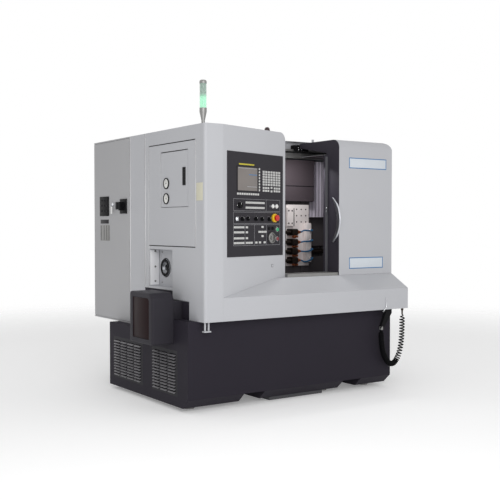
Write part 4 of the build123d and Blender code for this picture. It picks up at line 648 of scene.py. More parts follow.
# %% Motor cover
COVER_X, COVER_Y, COVER_Z = (-228, -74), (266, 584), (424, 758)
COVER_CHAMFER, COVER_ROUND, COVER_RIM = 34, 16, 12
WINDOW_SIDE, WINDOW_END, WINDOW_CHAMFER, WINDOW_ROUND, WINDOW_DEPTH = 45, 34, 14, 8, 5
NECK_LOW, NECK_HIGH, NECK_EDGE = (-74, 286, 582), (0, 564, 699), 0.002
ROUND_STEPS, RIM_STEPS = 5, 4
ROUND_LIMIT_SHARE = 0.45


def rounded_outline(y, z, chamfer, radius):
    """A level-sided outline with one chamfered corner, every corner rounded."""
    right_side = [(y[0], z[0]), (y[1], z[0]), (y[1], z[1])]
    corners = [*right_side, (y[0] + chamfer, z[1]), (y[0], z[1] - chamfer)]
    outline = []
    for index in range(len(corners)):
        spot, before, after = (Vector(corners[(index + k) % len(corners)]) for k in (0, -1, 1))
        start, end = (
            spot + way.normalized() * min(radius, way.length * ROUND_LIMIT_SHARE)
            for way in (before - spot, after - spot)
        )
        for step in range(ROUND_STEPS + 1):
            share = step / ROUND_STEPS
            outline.append(start.lerp(spot, share).lerp(spot.lerp(end, share), share))
    return outline


def inset(pair, by):
    return (pair[0] + by, pair[1] - by)


window = (inset(COVER_Y, WINDOW_SIDE), inset(COVER_Z, WINDOW_END), WINDOW_CHAMFER, WINDOW_ROUND)
motor_rings = [(COVER_X[1], (COVER_Y, COVER_Z, COVER_CHAMFER, COVER_ROUND))]
for step in range(RIM_STEPS + 1):
    angle = math.pi / 2 * step / RIM_STEPS
    back, drop = COVER_RIM * (1 - math.sin(angle)), COVER_RIM * (1 - math.cos(angle))
    outline = (inset(COVER_Y, drop), inset(COVER_Z, drop), COVER_CHAMFER, COVER_ROUND)
    motor_rings.append((COVER_X[0] + back, outline))
motor_rings += [(COVER_X[0], window), (COVER_X[0] + WINDOW_DEPTH, window)]
shell = bmesh.new()
loops = [
    [shell.verts.new(at(x, *spot)) for spot in rounded_outline(*outline)]
    for x, outline in motor_rings
]
bridge(shell, loops)
shell.faces.new(loops[0])
shell.faces.new(loops[-1])
block(shell, at(*NECK_LOW), at(*NECK_HIGH), NECK_EDGE)
motor_shell = finished("motor_cover_shell", shell, "machine", "motor_black", motor_cover_paint)
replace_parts(motor_shell, "motor_cover")
print("motor cover rings", len(motor_rings))

# %% [markdown]
# The stack light is turned: a slim stem that flares to the body, and two ribbed lens tiers on a
# rod between its collar and its cap.

# %% Stack light
LIGHT_FOOT = at(49, 98, 1827)
LIGHT_SEGMENTS = 40
UPWARD = (0, 0, 1)
STEM_PROFILE = (
    (0, 0), (11, 0), (11, 24), (23, 80), (23, 104), (8, 104),
    (8, 258), (23, 258), (23, 270), (21, 275), (16, 279), (0, 279),
)
TIER_FEET, TIER_HEIGHT, TIER_BORE, TIER_RADIUS = (104, 182), 76, 8.2, 21.5
RIBS, RIB_START, RIB_PITCH, RIB_DEPTH = 19, 2, 4, 0.9


def tier_profile(foot):
    """A ribbed ring: its bore, its outside with ribs, and back to the bore."""
    ribs = [
        (TIER_RADIUS - RIB_DEPTH * (rib % 2), foot + RIB_START + RIB_PITCH * rib)
        for rib in range(RIBS)
    ]
    top = foot + TIER_HEIGHT
    outside = [(TIER_RADIUS, foot), *ribs, (TIER_RADIUS, top)]
    return [(TIER_BORE, foot), *outside, (TIER_BORE, top), (TIER_BORE, foot)]


def light_piece(name, profiles, slot, material, node):
    """A piece of the light, turned on its middle line, that stands for a solid."""
    mesh = bmesh.new()
    for profile in profiles:
        sizes = [(radius * MM, height * MM) for radius, height in profile]
        turned(mesh, LIGHT_FOOT, UPWARD, sizes, LIGHT_SEGMENTS)
    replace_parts(finished(name, mesh, "machine", slot, material), node)


light_piece(
    "stack_light_stem", [STEM_PROFILE], "light_grey_plastic", plated_steel, "stack_light_base"
)
tiers = [tier_profile(foot) for foot in TIER_FEET]
light_piece("stack_light_tiers", tiers, "light_lens", green_lens, "stack_light_lenses")
print("lens ribs", RIBS * len(TIER_FEET))

# %% [markdown]
# Two folded edges close the sheet metal: a lip hangs from the roof behind the door's rail, and
# the left cover has a tail that reaches down to the cabinet's floor.

# %% Folded edges
FOLD_EDGE = 0.0005
FOLDED_EDGES = {
    "roof_lip": (at(6, 692, 1715), (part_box("roof_cover")[1][0], *at(0, 695, 1824).yz)),
    "cover_tail": (at(0, 802, 483), at(3, 1035, 582)),
}
for name, corners in FOLDED_EDGES.items():
    slabs(name, [corners], FOLD_EDGE, "machine", "cover_grey", cover_paint)
print("folded edges", len(FOLDED_EDGES))

# %% [markdown]
# The air hose is a coiled tube that hangs from a fitting under the apron, turns, and rises to
# the air gun. Its middle line is a smooth NURBS curve over the same control points as the
# solid's route. Points read from that curve carry the helix: the coil's radius grows from
# nothing at each end, where the tube runs straight into its fitting.

# %% Air hose
HOSE_TUBE = 0.0090
HOSE_COIL_RADIUS = 0.0168
HOSE_OPEN_PITCH, HOSE_TIGHT_PITCH = 0.0215, 0.0098
HOSE_OPEN_SHARE = (0.40, 0.54)
HOSE_LEAD, HOSE_LEAD_POWER = 0.030, 0.7
HOSE_POINTS_PER_TURN = 14
HOSE_ROUTE_SHARES = (
    (0.000, 0.000),
    (0.000, 0.260),
    (0.038, 0.587),
    (0.182, 0.852),
    (0.459, 1.000),
    (0.756, 0.902),
    (1.000, 0.607),
)
HOSE_DROP = 0.368
GUN_FROM_LEFT = 1513

fitting_low, fitting_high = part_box("hose_fitting")
hose_exit = (Vector(fitting_low) + Vector(fitting_high)) / 2
hose_exit.z = fitting_low[2]
hose_goal = Vector((at(GUN_FROM_LEFT, 0, 0).x, hose_exit.y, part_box("air_gun")[0][2]))


def hose_control_points():
    """The route's points, from the fitting down and across to the gun."""
    reach = hose_goal.x - hose_exit.x
    for across, down in HOSE_ROUTE_SHARES:
        yield hose_exit + Vector((across * reach, 0, -down * HOSE_DROP))
    yield hose_goal


def nurbs_line(name, points):
    """A curve object of one open NURBS spline over its control points."""
    curve = bpy.data.curves.new(name, "CURVE")
    curve.dimensions = "3D"
    curve.resolution_u = 24
    spline = curve.splines.new("NURBS")
    spline.points.add(len(points) - 1)
    for spot, point in zip(spline.points, points):
        spot.co = (*point, 1.0)
    spline.order_u = 3
    spline.use_endpoint_u = True
    return put(name, curve)


def tube_along(name, points, radius, resolution, material):
    """A round tube along a smooth curve."""
    line = nurbs_line(name, points)
    line.data.bevel_depth = radius
    line.data.bevel_resolution = resolution
    line.data.use_fill_caps = True
    line.data.materials.append(material)
    return line


def points_along(line):
    """The points that Blender draws along a curve with no bevel."""
    drawn = drawn_mesh(line)
    points = [vertex.co.copy() for vertex in drawn.vertices]
    bpy.data.meshes.remove(drawn)
    return points


def coil_pitch(share):
    """The coil is drawn open by its weight near the fitting and closes towards the gun."""
    low, high = HOSE_OPEN_SHARE
    closed = min(1.0, max(0.0, (share - low) / (high - low)))
    return HOSE_OPEN_PITCH + (HOSE_TIGHT_PITCH - HOSE_OPEN_PITCH) * closed


def helix(points):
    """Wind a coil round a line that lies in an upright plane facing the front."""
    runs = [(after - before).length for before, after in zip(points, points[1:])]
    total = sum(runs)
    facing = Vector((0, 1, 0))
    wound, passed, index, goal, angle = [], 0.0, 0, 0.0, 0.0
    while goal < total:
        while index < len(runs) - 1 and passed + runs[index] < goal:
            passed += runs[index]
            index += 1
        heading = (points[index + 1] - points[index]) / runs[index]
        centre = points[index] + heading * (goal - passed)
        ends = min(goal, total - goal) / HOSE_LEAD
        radius = HOSE_COIL_RADIUS * min(1.0, ends) ** HOSE_LEAD_POWER
        side = facing * math.cos(angle) + heading.cross(facing) * math.sin(angle)
        wound.append(centre + side * radius)
        goal += coil_pitch(goal / total) / HOSE_POINTS_PER_TURN
        angle += 2 * math.pi / HOSE_POINTS_PER_TURN
    return [*wound, points[-1]]


hose_line = nurbs_line("hose_middle_line", list(hose_control_points()))
hose_middle = points_along(hose_line)
bpy.data.objects.remove(hose_line)
hose_points = helix(hose_middle)
hose = tube_along("coiled_air_hose", hose_points, HOSE_TUBE / 2, 2, hose_plastic)
hose.data.resolution_u = 2
hose_length = sum((after - before).length for before, after in zip(hose_points, hose_points[1:]))
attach(hose, "machine")
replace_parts(hose, "air_hose")
print("air hose", round(hose_length, 2), "m of tube, coil points", len(hose_points))

# %% [markdown]
# The studio is a pale floor that fades into a white room. The world is white to the camera and
# in reflections, and gives only soft light to the machine. A large lamp in front, near the
# camera, and a weaker one on the left leave the left side a shade darker than the front.

# %% Studio
FLOOR_HALF, FLOOR_LEVEL = 9.0, -0.0005
FLOOR_FADE = (3.2, 7.5)
SOFT_LIGHT = 0.52


def studio_floor():
    finish = Finish("studio_floor")
    spread = finish.node("ShaderNodeVectorMath", {"operation": "LENGTH"}, {0: finish.place}, 1)
    paper = finish.noise(1.2, 2.0)
    return finish.surface(
        Base_Color=finish.mix(paper * 0.2, srgb(250, 250, 250), srgb(244, 244, 245)),
        Roughness=0.85,
        Emission_Color=(1.0, 1.0, 1.0, 1.0),
        Emission_Strength=0.22,
        Alpha=1 - spread.ramp(*FLOOR_FADE),
    )


floor_mesh = bpy.data.meshes.new("studio_floor")
floor_ends = (-FLOOR_HALF, FLOOR_HALF)
floor_corners = [(x, y, FLOOR_LEVEL) for x in floor_ends for y in floor_ends]
floor_mesh.from_pydata(floor_corners, [], [(0, 2, 3, 1)])
floor_mesh.materials.append(studio_floor())
floor = put("studio_floor", floor_mesh)

world = bpy.data.worlds.new("white_room")
bpy.context.scene.world = world
world.use_nodes = True
world.node_tree.nodes.clear()
room = Graph(world.node_tree)
camera_ray, glossy_ray, clear_ray = (
    room.node("ShaderNodeLightPath", None, None, f"Is {ray} Ray")
    for ray in ("Camera", "Glossy", "Transmission")
)
rays = camera_ray + glossy_ray + clear_ray
seen = room.node("ShaderNodeMath", {"operation": "MINIMUM"}, {0: rays, 1: 1.0})
strength = SOFT_LIGHT + seen * (1 - SOFT_LIGHT)
glow = room.node(
    "ShaderNodeBackground", None, {"Color": (1.0, 1.0, 1.0, 1.0), "Strength": strength}
)
room.node("ShaderNodeOutputWorld", None, {"Surface": glow})


def soft_lamp(name, place, aim, size, watts):
    """A large square lamp that looks at a point."""
    light = bpy.data.lights.new(name, "AREA")
    light.size = size
    light.energy = watts
    lamp = put(name, light)
    lamp.location = place
    lamp.rotation_euler = (Vector(aim) - Vector(place)).to_track_quat("-Z", "Y").to_euler()


# Name, place, aim, size and watts of each lamp; the work light shines on the tools.
LAMPS = (
    ("front_lamp", (-2.0, -5.6, 2.8), (-0.2, 0.0, 1.0), 3.2, 98),
    ("left_lamp", (-2.6, -3.2, 1.9), (-0.5, 0.0, 1.1), 1.5, 13),
    ("top_lamp", (0.3, -0.6, 5.4), (0.2, 0.0, 1.0), 4.0, 15),
    ("work_light", at(1100, 420, 1640), at(1190, 640, 1000), 0.16, 2.4),
)
for lamp in LAMPS:
    soft_lamp(*lamp)
bpy.context.scene.view_settings.view_transform = "Standard"
print("studio lamps", len(LAMPS))

# %% [markdown]
# What repeats is made by Geometry Nodes. Each tree below takes a cloud of points and puts a
# small shape on every one, with the shape's sizes as named inputs. The result is realized,
# given its finish, and turned into a plain mesh.

# %% Repeats by Geometry Nodes
FLAT = (0.0, 0.0, 0.0)
SCREW_SIDES = 16


class Repeat(Graph):
    """A Geometry Nodes tree that sets a shape on every point of its input."""

    def __init__(self, name, **sizes):
        tree = bpy.data.node_groups.new(name, "GeometryNodeTree")
        super().__init__(tree)
        tree.interface.new_socket("Points", in_out="INPUT", socket_type="NodeSocketGeometry")
        tree.interface.new_socket("Result", in_out="OUTPUT", socket_type="NodeSocketGeometry")
        for size, start in sizes.items():
            kind = "NodeSocketVector" if isinstance(start, tuple) else "NodeSocketFloat"
            socket = tree.interface.new_socket(size, in_out="INPUT", socket_type=kind)
            socket.default_value = start
        tree.interface.new_socket("Finish", in_out="INPUT", socket_type="NodeSocketMaterial")
        self.inputs = tree.nodes.new("NodeGroupInput")

    def size(self, name):
        return Socket(self, self.inputs.outputs[name])

    def close(self, shape):
        """Set the shape on the points, realize it and give it its finish."""
        sockets = {"Points": self.size("Points"), "Instance": shape, "Rotation": self.size("Turn")}
        placed = self.node("GeometryNodeInstanceOnPoints", None, sockets)
        real = self.node("GeometryNodeRealizeInstances", None, {"Geometry": placed})
        sockets = {"Geometry": real, "Material": self.size("Finish")}
        painted = self.node("GeometryNodeSetMaterial", None, sockets)
        self.node("NodeGroupOutput", None, {"Result": painted})
        return self.tree


def screw_tree():
    """A domed cap screw: a low cylinder with a flat cone on top."""
    repeat = Repeat("cap_screws", Head=0.006, Rise=0.004, Turn=FLAT)
    width, rise = repeat.size("Head"), repeat.size("Rise")
    filled = {"fill_type": "NGON"}
    sockets = {"Vertices": SCREW_SIDES, "Radius": width, "Depth": rise}
    head = repeat.node("GeometryNodeMeshCylinder", filled, sockets)
    sockets = {"Vertices": SCREW_SIDES, "Radius Bottom": width, "Radius Top": width * 0.55}
    dome = repeat.node("GeometryNodeMeshCone", filled, {**sockets, "Depth": rise * 0.35})
    lift = repeat.node("ShaderNodeCombineXYZ", None, {"Z": rise * 0.5})
    raised = repeat.node("GeometryNodeTransform", None, {"Geometry": dome, "Translation": lift})
    joined = repeat.node("GeometryNodeJoinGeometry", None, {"Geometry": head})
    repeat.tree.links.new(raised.socket, joined.socket.node.inputs["Geometry"])
    return repeat.close(joined)


def bar_tree():
    """A small bar, for blades, legends, ticks and lines."""
    repeat = Repeat("bars", Size=(0.01, 0.01, 0.01), Turn=FLAT)
    bar = repeat.node("GeometryNodeMeshCube", None, {"Size": repeat.size("Size")})
    return repeat.close(bar)


SCREWS = screw_tree()
BARS = bar_tree()


def repeated(name, tree, points, body, slot, material, turn=FLAT, **sizes):
    """Run a tree on a list of points and keep the result as one plain piece."""
    cloud = bpy.data.meshes.new(name)
    cloud.from_pydata([tuple(point) for point in points], [], [])
    carrier = put(name, cloud)
    modifier = carrier.modifiers.new(name, "NODES")
    modifier.node_group = tree
    values = {**sizes, "Turn": turn, "Finish": material}
    for item in tree.interface.items_tree:
        if item.in_out == "INPUT" and item.name in values:
            modifier[item.identifier] = values[item.name]
    result = drawn_mesh(carrier)
    carrier.modifiers.remove(modifier)
    carrier.data = result
    bpy.data.meshes.remove(cloud)
    result.name = name
    if body:
        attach(carrier, body)
    print(name, len(points), "repeats,", len(result.polygons), "faces")
    return carrier


def screws(name, points, body, slot, material, turn, head, rise):
    """Like screws at a list of places, turned to face out of their sheet."""
    repeated(name, SCREWS, points, body, slot, material, turn, Head=head, Rise=rise)


print("repeat trees ready")

# %% [markdown]
# The control panel leans against the console's angled face. A frame of its own makes it easy to
# draw on: across to the right, up, and out towards the operator, with places given as shares of
# the panel's width and height from its upper left corner.

# %% Panel frame
CONSOLE_ANGLE = math.radians(18)
PANEL_WIDTH, PANEL_THICKNESS, PANEL_SINK = 0.606, 0.006, 0.004
panel_low, panel_high = (Vector(corner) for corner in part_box("control_panel"))
panel_height = panel_high.z - panel_low.z
panel_along = Vector((math.cos(CONSOLE_ANGLE), math.sin(CONSOLE_ANGLE), 0))
panel_out = Vector((math.sin(CONSOLE_ANGLE), -math.cos(CONSOLE_ANGLE), 0))
panel_up = Vector(UPWARD)
panel_middle = (panel_low + panel_high) / 2 + panel_out * PANEL_THICKNESS / 2
PANEL = Matrix((panel_along, panel_up, panel_out)).transposed().to_4x4()
PANEL.translation = panel_middle - panel_along * PANEL_WIDTH / 2 + panel_up * panel_height / 2
PANEL_TURN = tuple(PANEL.to_euler())
OUTWARD = (0, 0, 1)


def on_panel(across, down, proud=0.0):
    """A place in the panel's own frame, from shares of its width and height."""
    return Vector((across * PANEL_WIDTH, -down * panel_height, proud))


def panel_plates(name, plates, proud, depth, soften, slot, material, smooth=True):
    """A piece of thin plates, each given by its left, top, right and bottom shares."""
    corners = [
        (on_panel(left, bottom, proud), on_panel(right, top, proud + depth))
        for left, top, right, bottom in plates
    ]
    slabs(name, corners, soften, "machine", slot, material, place=PANEL, smooth=smooth)


def panel_discs(name, places, profile, slot, material, segments=32):
    """A piece of like turned forms that stand on the panel."""
    feet = [on_panel(*place) for place in places]
    turnings(name, feet, OUTWARD, profile, "machine", slot, material, segments, place=PANEL)


print("panel", round(PANEL_WIDTH, 3), "by", round(panel_height, 3))

# %% [markdown]
# On the panel, thin printed lines box the groups of controls. Four slim bars make a box, so the
# lines are bars too, a third of a millimetre proud. The display has a lit picture behind a
# frame, with a few plain rows of it in other tones.

# %% Panel lines and display
LINE_HALF, LINE_PROUD = 0.0008, 0.0003
BOX_SHARES = (
    (0.104, 0.447, 0.682, 0.560),
    (0.682, 0.447, 0.940, 0.560),
    (0.104, 0.573, 0.940, 0.682),
    (0.104, 0.693, 0.300, 0.893),
    (0.300, 0.693, 0.468, 0.893),
    (0.468, 0.693, 0.687, 0.893),
    (0.687, 0.693, 0.940, 0.893),
)
lines = bmesh.new()
for left, top, right, bottom in BOX_SHARES:
    corner, far = on_panel(left, top), on_panel(right, bottom)
    for y in (corner.y, far.y):
        block(lines, (corner.x, y - LINE_HALF, 0), (far.x, y + LINE_HALF, LINE_PROUD))
    for x in (corner.x, far.x):
        block(lines, (x - LINE_HALF, far.y, 0), (x + LINE_HALF, corner.y, LINE_PROUD))
finished("panel_lines", lines, "machine", "key_white", line_ink, PANEL, smooth=False)

PICTURE_PROUD, PICTURE_DEPTH, ROW_DEPTH = 0.002, 0.0006, 0.0003
ROW_PROUD = PICTURE_PROUD + PICTURE_DEPTH
PICTURE, BLUE_ROW = (0.174, 0.143, 0.515, 0.366), (0.365, 0.208, 0.508, 0.215)
PALE_ROWS = (0.182, 0.150, 0.506, 0.155), (0.335, 0.325, 0.506, 0.330)
GOLD_STRIP = (0.196, 0.108, 0.461, 0.122)
lit = (PICTURE_PROUD, PICTURE_DEPTH, 0.0002)
flat_row = (ROW_PROUD, ROW_DEPTH, 0.0)
panel_plates("display_picture", [PICTURE], *lit, "display_glass", screen_finish)
panel_plates("display_blue_row", [BLUE_ROW], *flat_row, "display_glass", plate_blue, False)
panel_plates("display_rows", PALE_ROWS, *flat_row, "key_white", line_ink, False)
panel_plates("display_strip", [GOLD_STRIP], 0.0, 0.0012, 0.0003, "button_white", strip_gold)
print("panel lines", len(BOX_SHARES), "boxes")

# %% [markdown]
# Every key carries a small legend, and every control stands in a bezel. The legends are plain
# bars, one on each key, made by the bar tree from the same rows of places as the keys.

# %% Legends and bezels
KEY_PROUD = 0.0016
LEGEND_SIZE = (0.0066, 0.0018, 0.0004)
# First and last share across, shares down, and the keys in each of those rows.
KEY_ROWS = (
    (0.330, 0.630, (0.480, 0.529), 8),
    (0.130, 0.266, (0.718, 0.766, 0.823, 0.868), 4),
    (0.332, 0.416, (0.868,), 3),
    (0.561, 0.665, (0.763,), 3),
    (0.633, 0.925, (0.172, 0.197, 0.222, 0.247, 0.272, 0.297), 7),
)
legends = [
    PANEL @ on_panel(first + (last - first) * number / (count - 1), down, KEY_PROUD)
    for first, last, downs, count in KEY_ROWS
    for down in downs
    for number in range(count)
]
repeated(
    "key_legends", BARS, legends, "machine", "knob_black", legend_ink, PANEL_TURN, Size=LEGEND_SIZE
)
BUTTON_PLACES = ((0.886, 0.741), (0.886, 0.834), (0.803, 0.509), (0.874, 0.509))
ESTOP_PLACE = (0.832, 0.626)
BEZEL = ring_profile(0.0127, 0.0158, 0.0032, 0.0008)
HALO = ring_profile(0.0130, 0.0290, 0.0140, 0.0030)
panel_discs("button_bezels", BUTTON_PLACES, BEZEL, "bright_steel", bright_steel)
panel_discs("estop_halo", [ESTOP_PLACE], HALO, "button_white", yellow_ring, 40)

# %% [markdown]
# Four controls are a little too large or too far right as solids. Copies of them are scaled
# about their own middles in the panel's frame, or moved along it, and take the solids' places.

# %% Controls brought to size


def in_panel(node, flat, deep, shift):
    """A change that scales a control about its own middle, in the panel's frame."""
    low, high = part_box(node)
    centre = PANEL.inverted() @ ((Vector(low) + Vector(high)) / 2)

    def change(corner):
        spot = PANEL.inverted() @ corner
        across = centre.x + (spot.x - centre.x) * flat + shift
        up = centre.y + (spot.y - centre.y) * flat
        return PANEL @ Vector((across, up, spot.z * deep)) - corner

    return change


# Solid, scale across, scale outwards, shift along the panel, body, slot and finish.
CONTROLS = (
    ("estop_button", 0.84, 0.62, 0.0, "estop", "button_red", red_cap),
    ("handwheel", 0.84, 0.85, 0.0, "wheel", "knob_black", plated_steel),
    ("power_on_button", 1.0, 1.0, -0.0073, "power_on", "button_white", white_cap),
    ("power_off_button", 1.0, 1.0, -0.0103, "power_off", "button_white", white_cap),
)
for node, flat, deep, shift, *dressing in CONTROLS:
    mended(node, in_panel(node, flat, deep, shift), *dressing)
print("controls brought to size", len(CONTROLS))

# %% [markdown]
# Between the controls sit unlit lamps and two pale dots beside the mode dial, and a covered
# socket on the console's face below the panel. Short ticks mark the stops of each switch.

# %% Lamps, plug and ticks
DARK_LAMPS, GREY_LAMPS = ((0.735, 0.730), (0.800, 0.730)), ((0.752, 0.509),)
DIAL_DOTS = ((0.172, 0.508), (0.236, 0.508))
LAMP, SMALL_LAMP = disc_profile(0.0110, 0.006, 0.001), disc_profile(0.0085, 0.004, 0.001)
DOT = disc_profile(0.0040, 0.0012, 0.0003)
panel_discs("dark_lamps", DARK_LAMPS, LAMP, "knob_black", black_plastic)
panel_discs("grey_lamp", GREY_LAMPS, SMALL_LAMP, "knob_black", legend_ink)
panel_discs("dial_dots", DIAL_DOTS, DOT, "key_white", white_cap, 20)
PLUG, PLUG_FACE = (0.783, 1.088, 0.817, 1.118), (0.787, 1.0915, 0.813, 1.1145)
# Each plug plate starts on the panel's back and ends a little proud of the console's face.
for name, plate, proud, slot, finish in (
    ("console_plug", PLUG, 0.0008, "knob_black", legend_ink),
    ("console_plug_face", PLUG_FACE, 0.0014, "cover_grey", cover_paint),
):
    panel_plates(name, [plate], -PANEL_THICKNESS, PANEL_SINK + proud, 0.0, slot, finish)

DIAL_PLACE = (0.203, 0.508)
KNOB_PLACES = ((0.246, 0.638), (0.344, 0.636), (0.486, 0.636), (0.597, 0.638), (0.730, 0.638))
TICK_ANGLES = [math.radians(degrees) for degrees in range(-60, 61, 30)]
TICK_SIZE = (0.0024, 0.0024, LINE_PROUD)
KNOB_REACH, DIAL_REACH = 0.0185, 0.0255
stops = [(place, KNOB_REACH) for place in KNOB_PLACES] + [(DIAL_PLACE, DIAL_REACH)]
ticks = [
    PANEL @ (on_panel(*place, LINE_PROUD / 2) + Vector((math.sin(a), math.cos(a), 0)) * reach)
    for place, reach in stops
    for a in TICK_ANGLES
]
repeated(
    "switch_ticks", BARS, ticks, "machine", "key_white", line_ink, PANEL_TURN, Size=TICK_SIZE
)

# %% [markdown]
# Each rotary switch has a pale index line along its grip. The line turns with its own switch,
# so each is a piece that rides on that switch's body.

# %% Index lines
KNOB_TOP, INDEX_PROUD = 0.0176, 0.0003
KNOB_BODIES = ("switch_one", "switch_two", "switch_three", "switch_four", "switch_five")
# Half width, start and end of a line, from the middle of its switch.
KNOB_INDEX, DIAL_INDEX = (0.0008, 0.002, 0.0125), (0.001, 0.004, 0.017)
indexes = [(place, body, KNOB_INDEX) for place, body in zip(KNOB_PLACES, KNOB_BODIES)]
for place, body, (half, near, far) in [*indexes, (DIAL_PLACE, "dial", DIAL_INDEX)]:
    centre = on_panel(*place, KNOB_TOP)
    line = (centre + Vector((-half, near, 0)), centre + Vector((half, far, INDEX_PROUD)))
    slabs(f"{body}_index", [line], 0.0, body, "key_white", white_cap, place=PANEL, smooth=False)
print("index lines", len(indexes) + 1)

# %% [markdown]
# Under every slot of the base's vent panels a pressed lip stands out and catches the light from
# above. One bar per slot, tipped a little outwards and down, does it, in a metal paler than the
# vent's paint: a painted highlight.

# %% Louvre lips
VENTS = ((218, 344, 3), (698, 458, 4))
VENT_MIDDLE, VENT_ROWS = 239.5, 13
SLOT_PITCH, COLUMN_PITCH = 20, 106
LIP_PROUD, LIP_DROP, LIP_SIZE = 6, 5, (0.013, 0.088, 0.0022)
LIP_TIP = (0.0, math.radians(-28), 0.0)
lip_x = (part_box("vent_panels")[0][0] - cover_left) / MM - LIP_PROUD


def spread(middle, pitch, count):
    """Places at an even pitch about a middle."""
    return [middle + (number - (count - 1) / 2) * pitch for number in range(count)]


lips = [
    at(lip_x, y, z - LIP_DROP)
    for start, width, columns in VENTS
    for y in spread(start + width / 2, COLUMN_PITCH, columns)
    for z in spread(VENT_MIDDLE, SLOT_PITCH, VENT_ROWS)
]
repeated(
    "louvre_lips", BARS, lips, "machine", "foot_steel", blade_steel, LIP_TIP, Size=LIP_SIZE
)

# %% [markdown]
# Cover screws sit in rows in the pocket and on the door's seal strip. They are the same small
# screw again and again, so the screw tree sets them from lists of places.

# %% Screws
ON_LEFT, ON_FRONT = (0.0, math.radians(-90), 0.0), (math.radians(90), 0.0, 0.0)
SEAL_STRIP = (at(1208, 296.6, 790), at(1231, 297.9, 1690))
THIN_EDGE = 0.0004
corners = [at(75, y, z) for y in (436, 690) for z in (1005, 796)]
screws("pocket_screws", corners, "machine", "bright_steel", plated_steel, ON_LEFT, 0.005, 0.003)
row = [at(43, 729.5, z) for z in (1012, 905, 804)]
screws("pocket_plate_screws", row, "machine", "foot_steel", plated_steel, ON_FRONT, 0.007, 0.003)
slabs("door_seal_strip", [SEAL_STRIP], THIN_EDGE, "door", "knob_black", legend_ink)
row = [at(1219, 296, z) for z in (1294, 1316)]
screws("door_seal_screws", row, "door", "bright_steel", bright_steel, ON_FRONT, 0.007, 0.004)

# %% [markdown]
# A pressure gauge is a white dial with ticks and a needle under a black rim. The dial and the
# needle ride with the small door that carries the gauges.

# %% Gauge faces
GAUGE_X, GAUGE_Y, GAUGE_HEIGHTS = -3, 489, (1368, 1469)
LEFTWARD = (-1, 0, 0)
DIAL_DISC, NEEDLE_HUB = disc_profile(0.0305, 0.0004), disc_profile(0.004, 0.0012, 0.0003)
TICK_REACH, GAUGE_TICK_SIZE = 25, (0.0004, 0.0022, 0.0022)
GAUGE_ANGLES = [math.radians(degrees) for degrees in range(-130, 131, 26)]
dials = [at(GAUGE_X, GAUGE_Y, z) for z in GAUGE_HEIGHTS]
turnings(
    "gauge_dials", dials, LEFTWARD, DIAL_DISC, "gauge_door_body", "key_white", dial_white, 40
)
needles = bmesh.new()
for z in GAUGE_HEIGHTS:
    turned(needles, at(GAUGE_X - 0.4, GAUGE_Y, z), LEFTWARD, NEEDLE_HUB, 20)
    block(needles, at(GAUGE_X - 1, GAUGE_Y - 1, z - 6), at(GAUGE_X - 0.6, GAUGE_Y + 1, z + 22))
finished("gauge_needles", needles, "gauge_door_body", "gauge_black", black_plastic)
ticks = [
    at(GAUGE_X - 0.5, GAUGE_Y + TICK_REACH * math.sin(a), z + TICK_REACH * math.cos(a))
    for z in GAUGE_HEIGHTS
    for a in GAUGE_ANGLES
]
on_gauge_door = ("gauge_door_body", "gauge_black", black_plastic)
repeated("gauge_ticks", BARS, ticks, *on_gauge_door, Size=GAUGE_TICK_SIZE)

# %% [markdown]
# The door's front carries two bare plates with a blue border. A border is four slim bars on the
# plate's face.

# %% Plates on the door
BORDER, BORDER_PROUD, PLATE_EDGE = 0.006, 0.0003, 0.0003
DOOR_PLATES = {
    "upper_door": (at(1328, 174.2, 1604), at(1692, 175, 1681)),
    "lower_door": (at(1331, 174.2, 875), at(1661, 175, 957)),
}
for name, (low, high) in DOOR_PLATES.items():
    slabs(f"{name}_plate", [(low, high)], PLATE_EDGE, "door", "button_white", plate_white)
    front, face = low.y - BORDER_PROUD, low.y
    bottom, top = low.z + BORDER, high.z - BORDER
    bars = [
        ((low.x, front, low.z), (high.x, face, bottom)),
        ((low.x, front, top), (high.x, face, high.z)),
        ((low.x, front, bottom), (low.x + BORDER, face, top)),
        ((high.x - BORDER, front, bottom), (high.x, face, top)),
    ]
    slabs(f"{name}_border", bars, 0.0, "door", "hose_blue", plate_blue, smooth=False)
print("framed plates", len(DOOR_PLATES))

# %% [markdown]
# The cabinet's door carries black switch plates, a lock with its key and tag, and two small bare
# plates. Another bare plate sits on the corner of the left cover.

# %% Cabinet fittings
CABINET = "cabinet_door_body"
SWITCH_PLATES = (
    ((-4, 1382, 1261), (0, 1541, 1408), 0.001),
    ((-8, 1079, 1276), (0, 1185, 1383), 0.002),
    ((-6, 1222, 1308), (0, 1262, 1362), 0.0015),
)
fittings = bmesh.new()
for low, high, edge in SWITCH_PLATES:
    block(fittings, at(*low), at(*high), edge)
finished("cabinet_switch_plates", fittings, CABINET, "knob_black", black_plastic)
caps = [at(-5, y, z) for y in (1415, 1461, 1507) for z in (1300, 1340, 1380)]
screws("cabinet_lamp_caps", caps, CABINET, "knob_black", bezel_plastic, ON_LEFT, 0.007, 0.004)


def left_plate(name, low, high, edge, body, slot, material):
    """A flat plate on the left side, from corners in millimetres."""
    slabs(name, [(at(*low), at(*high))], edge, body, slot, material)


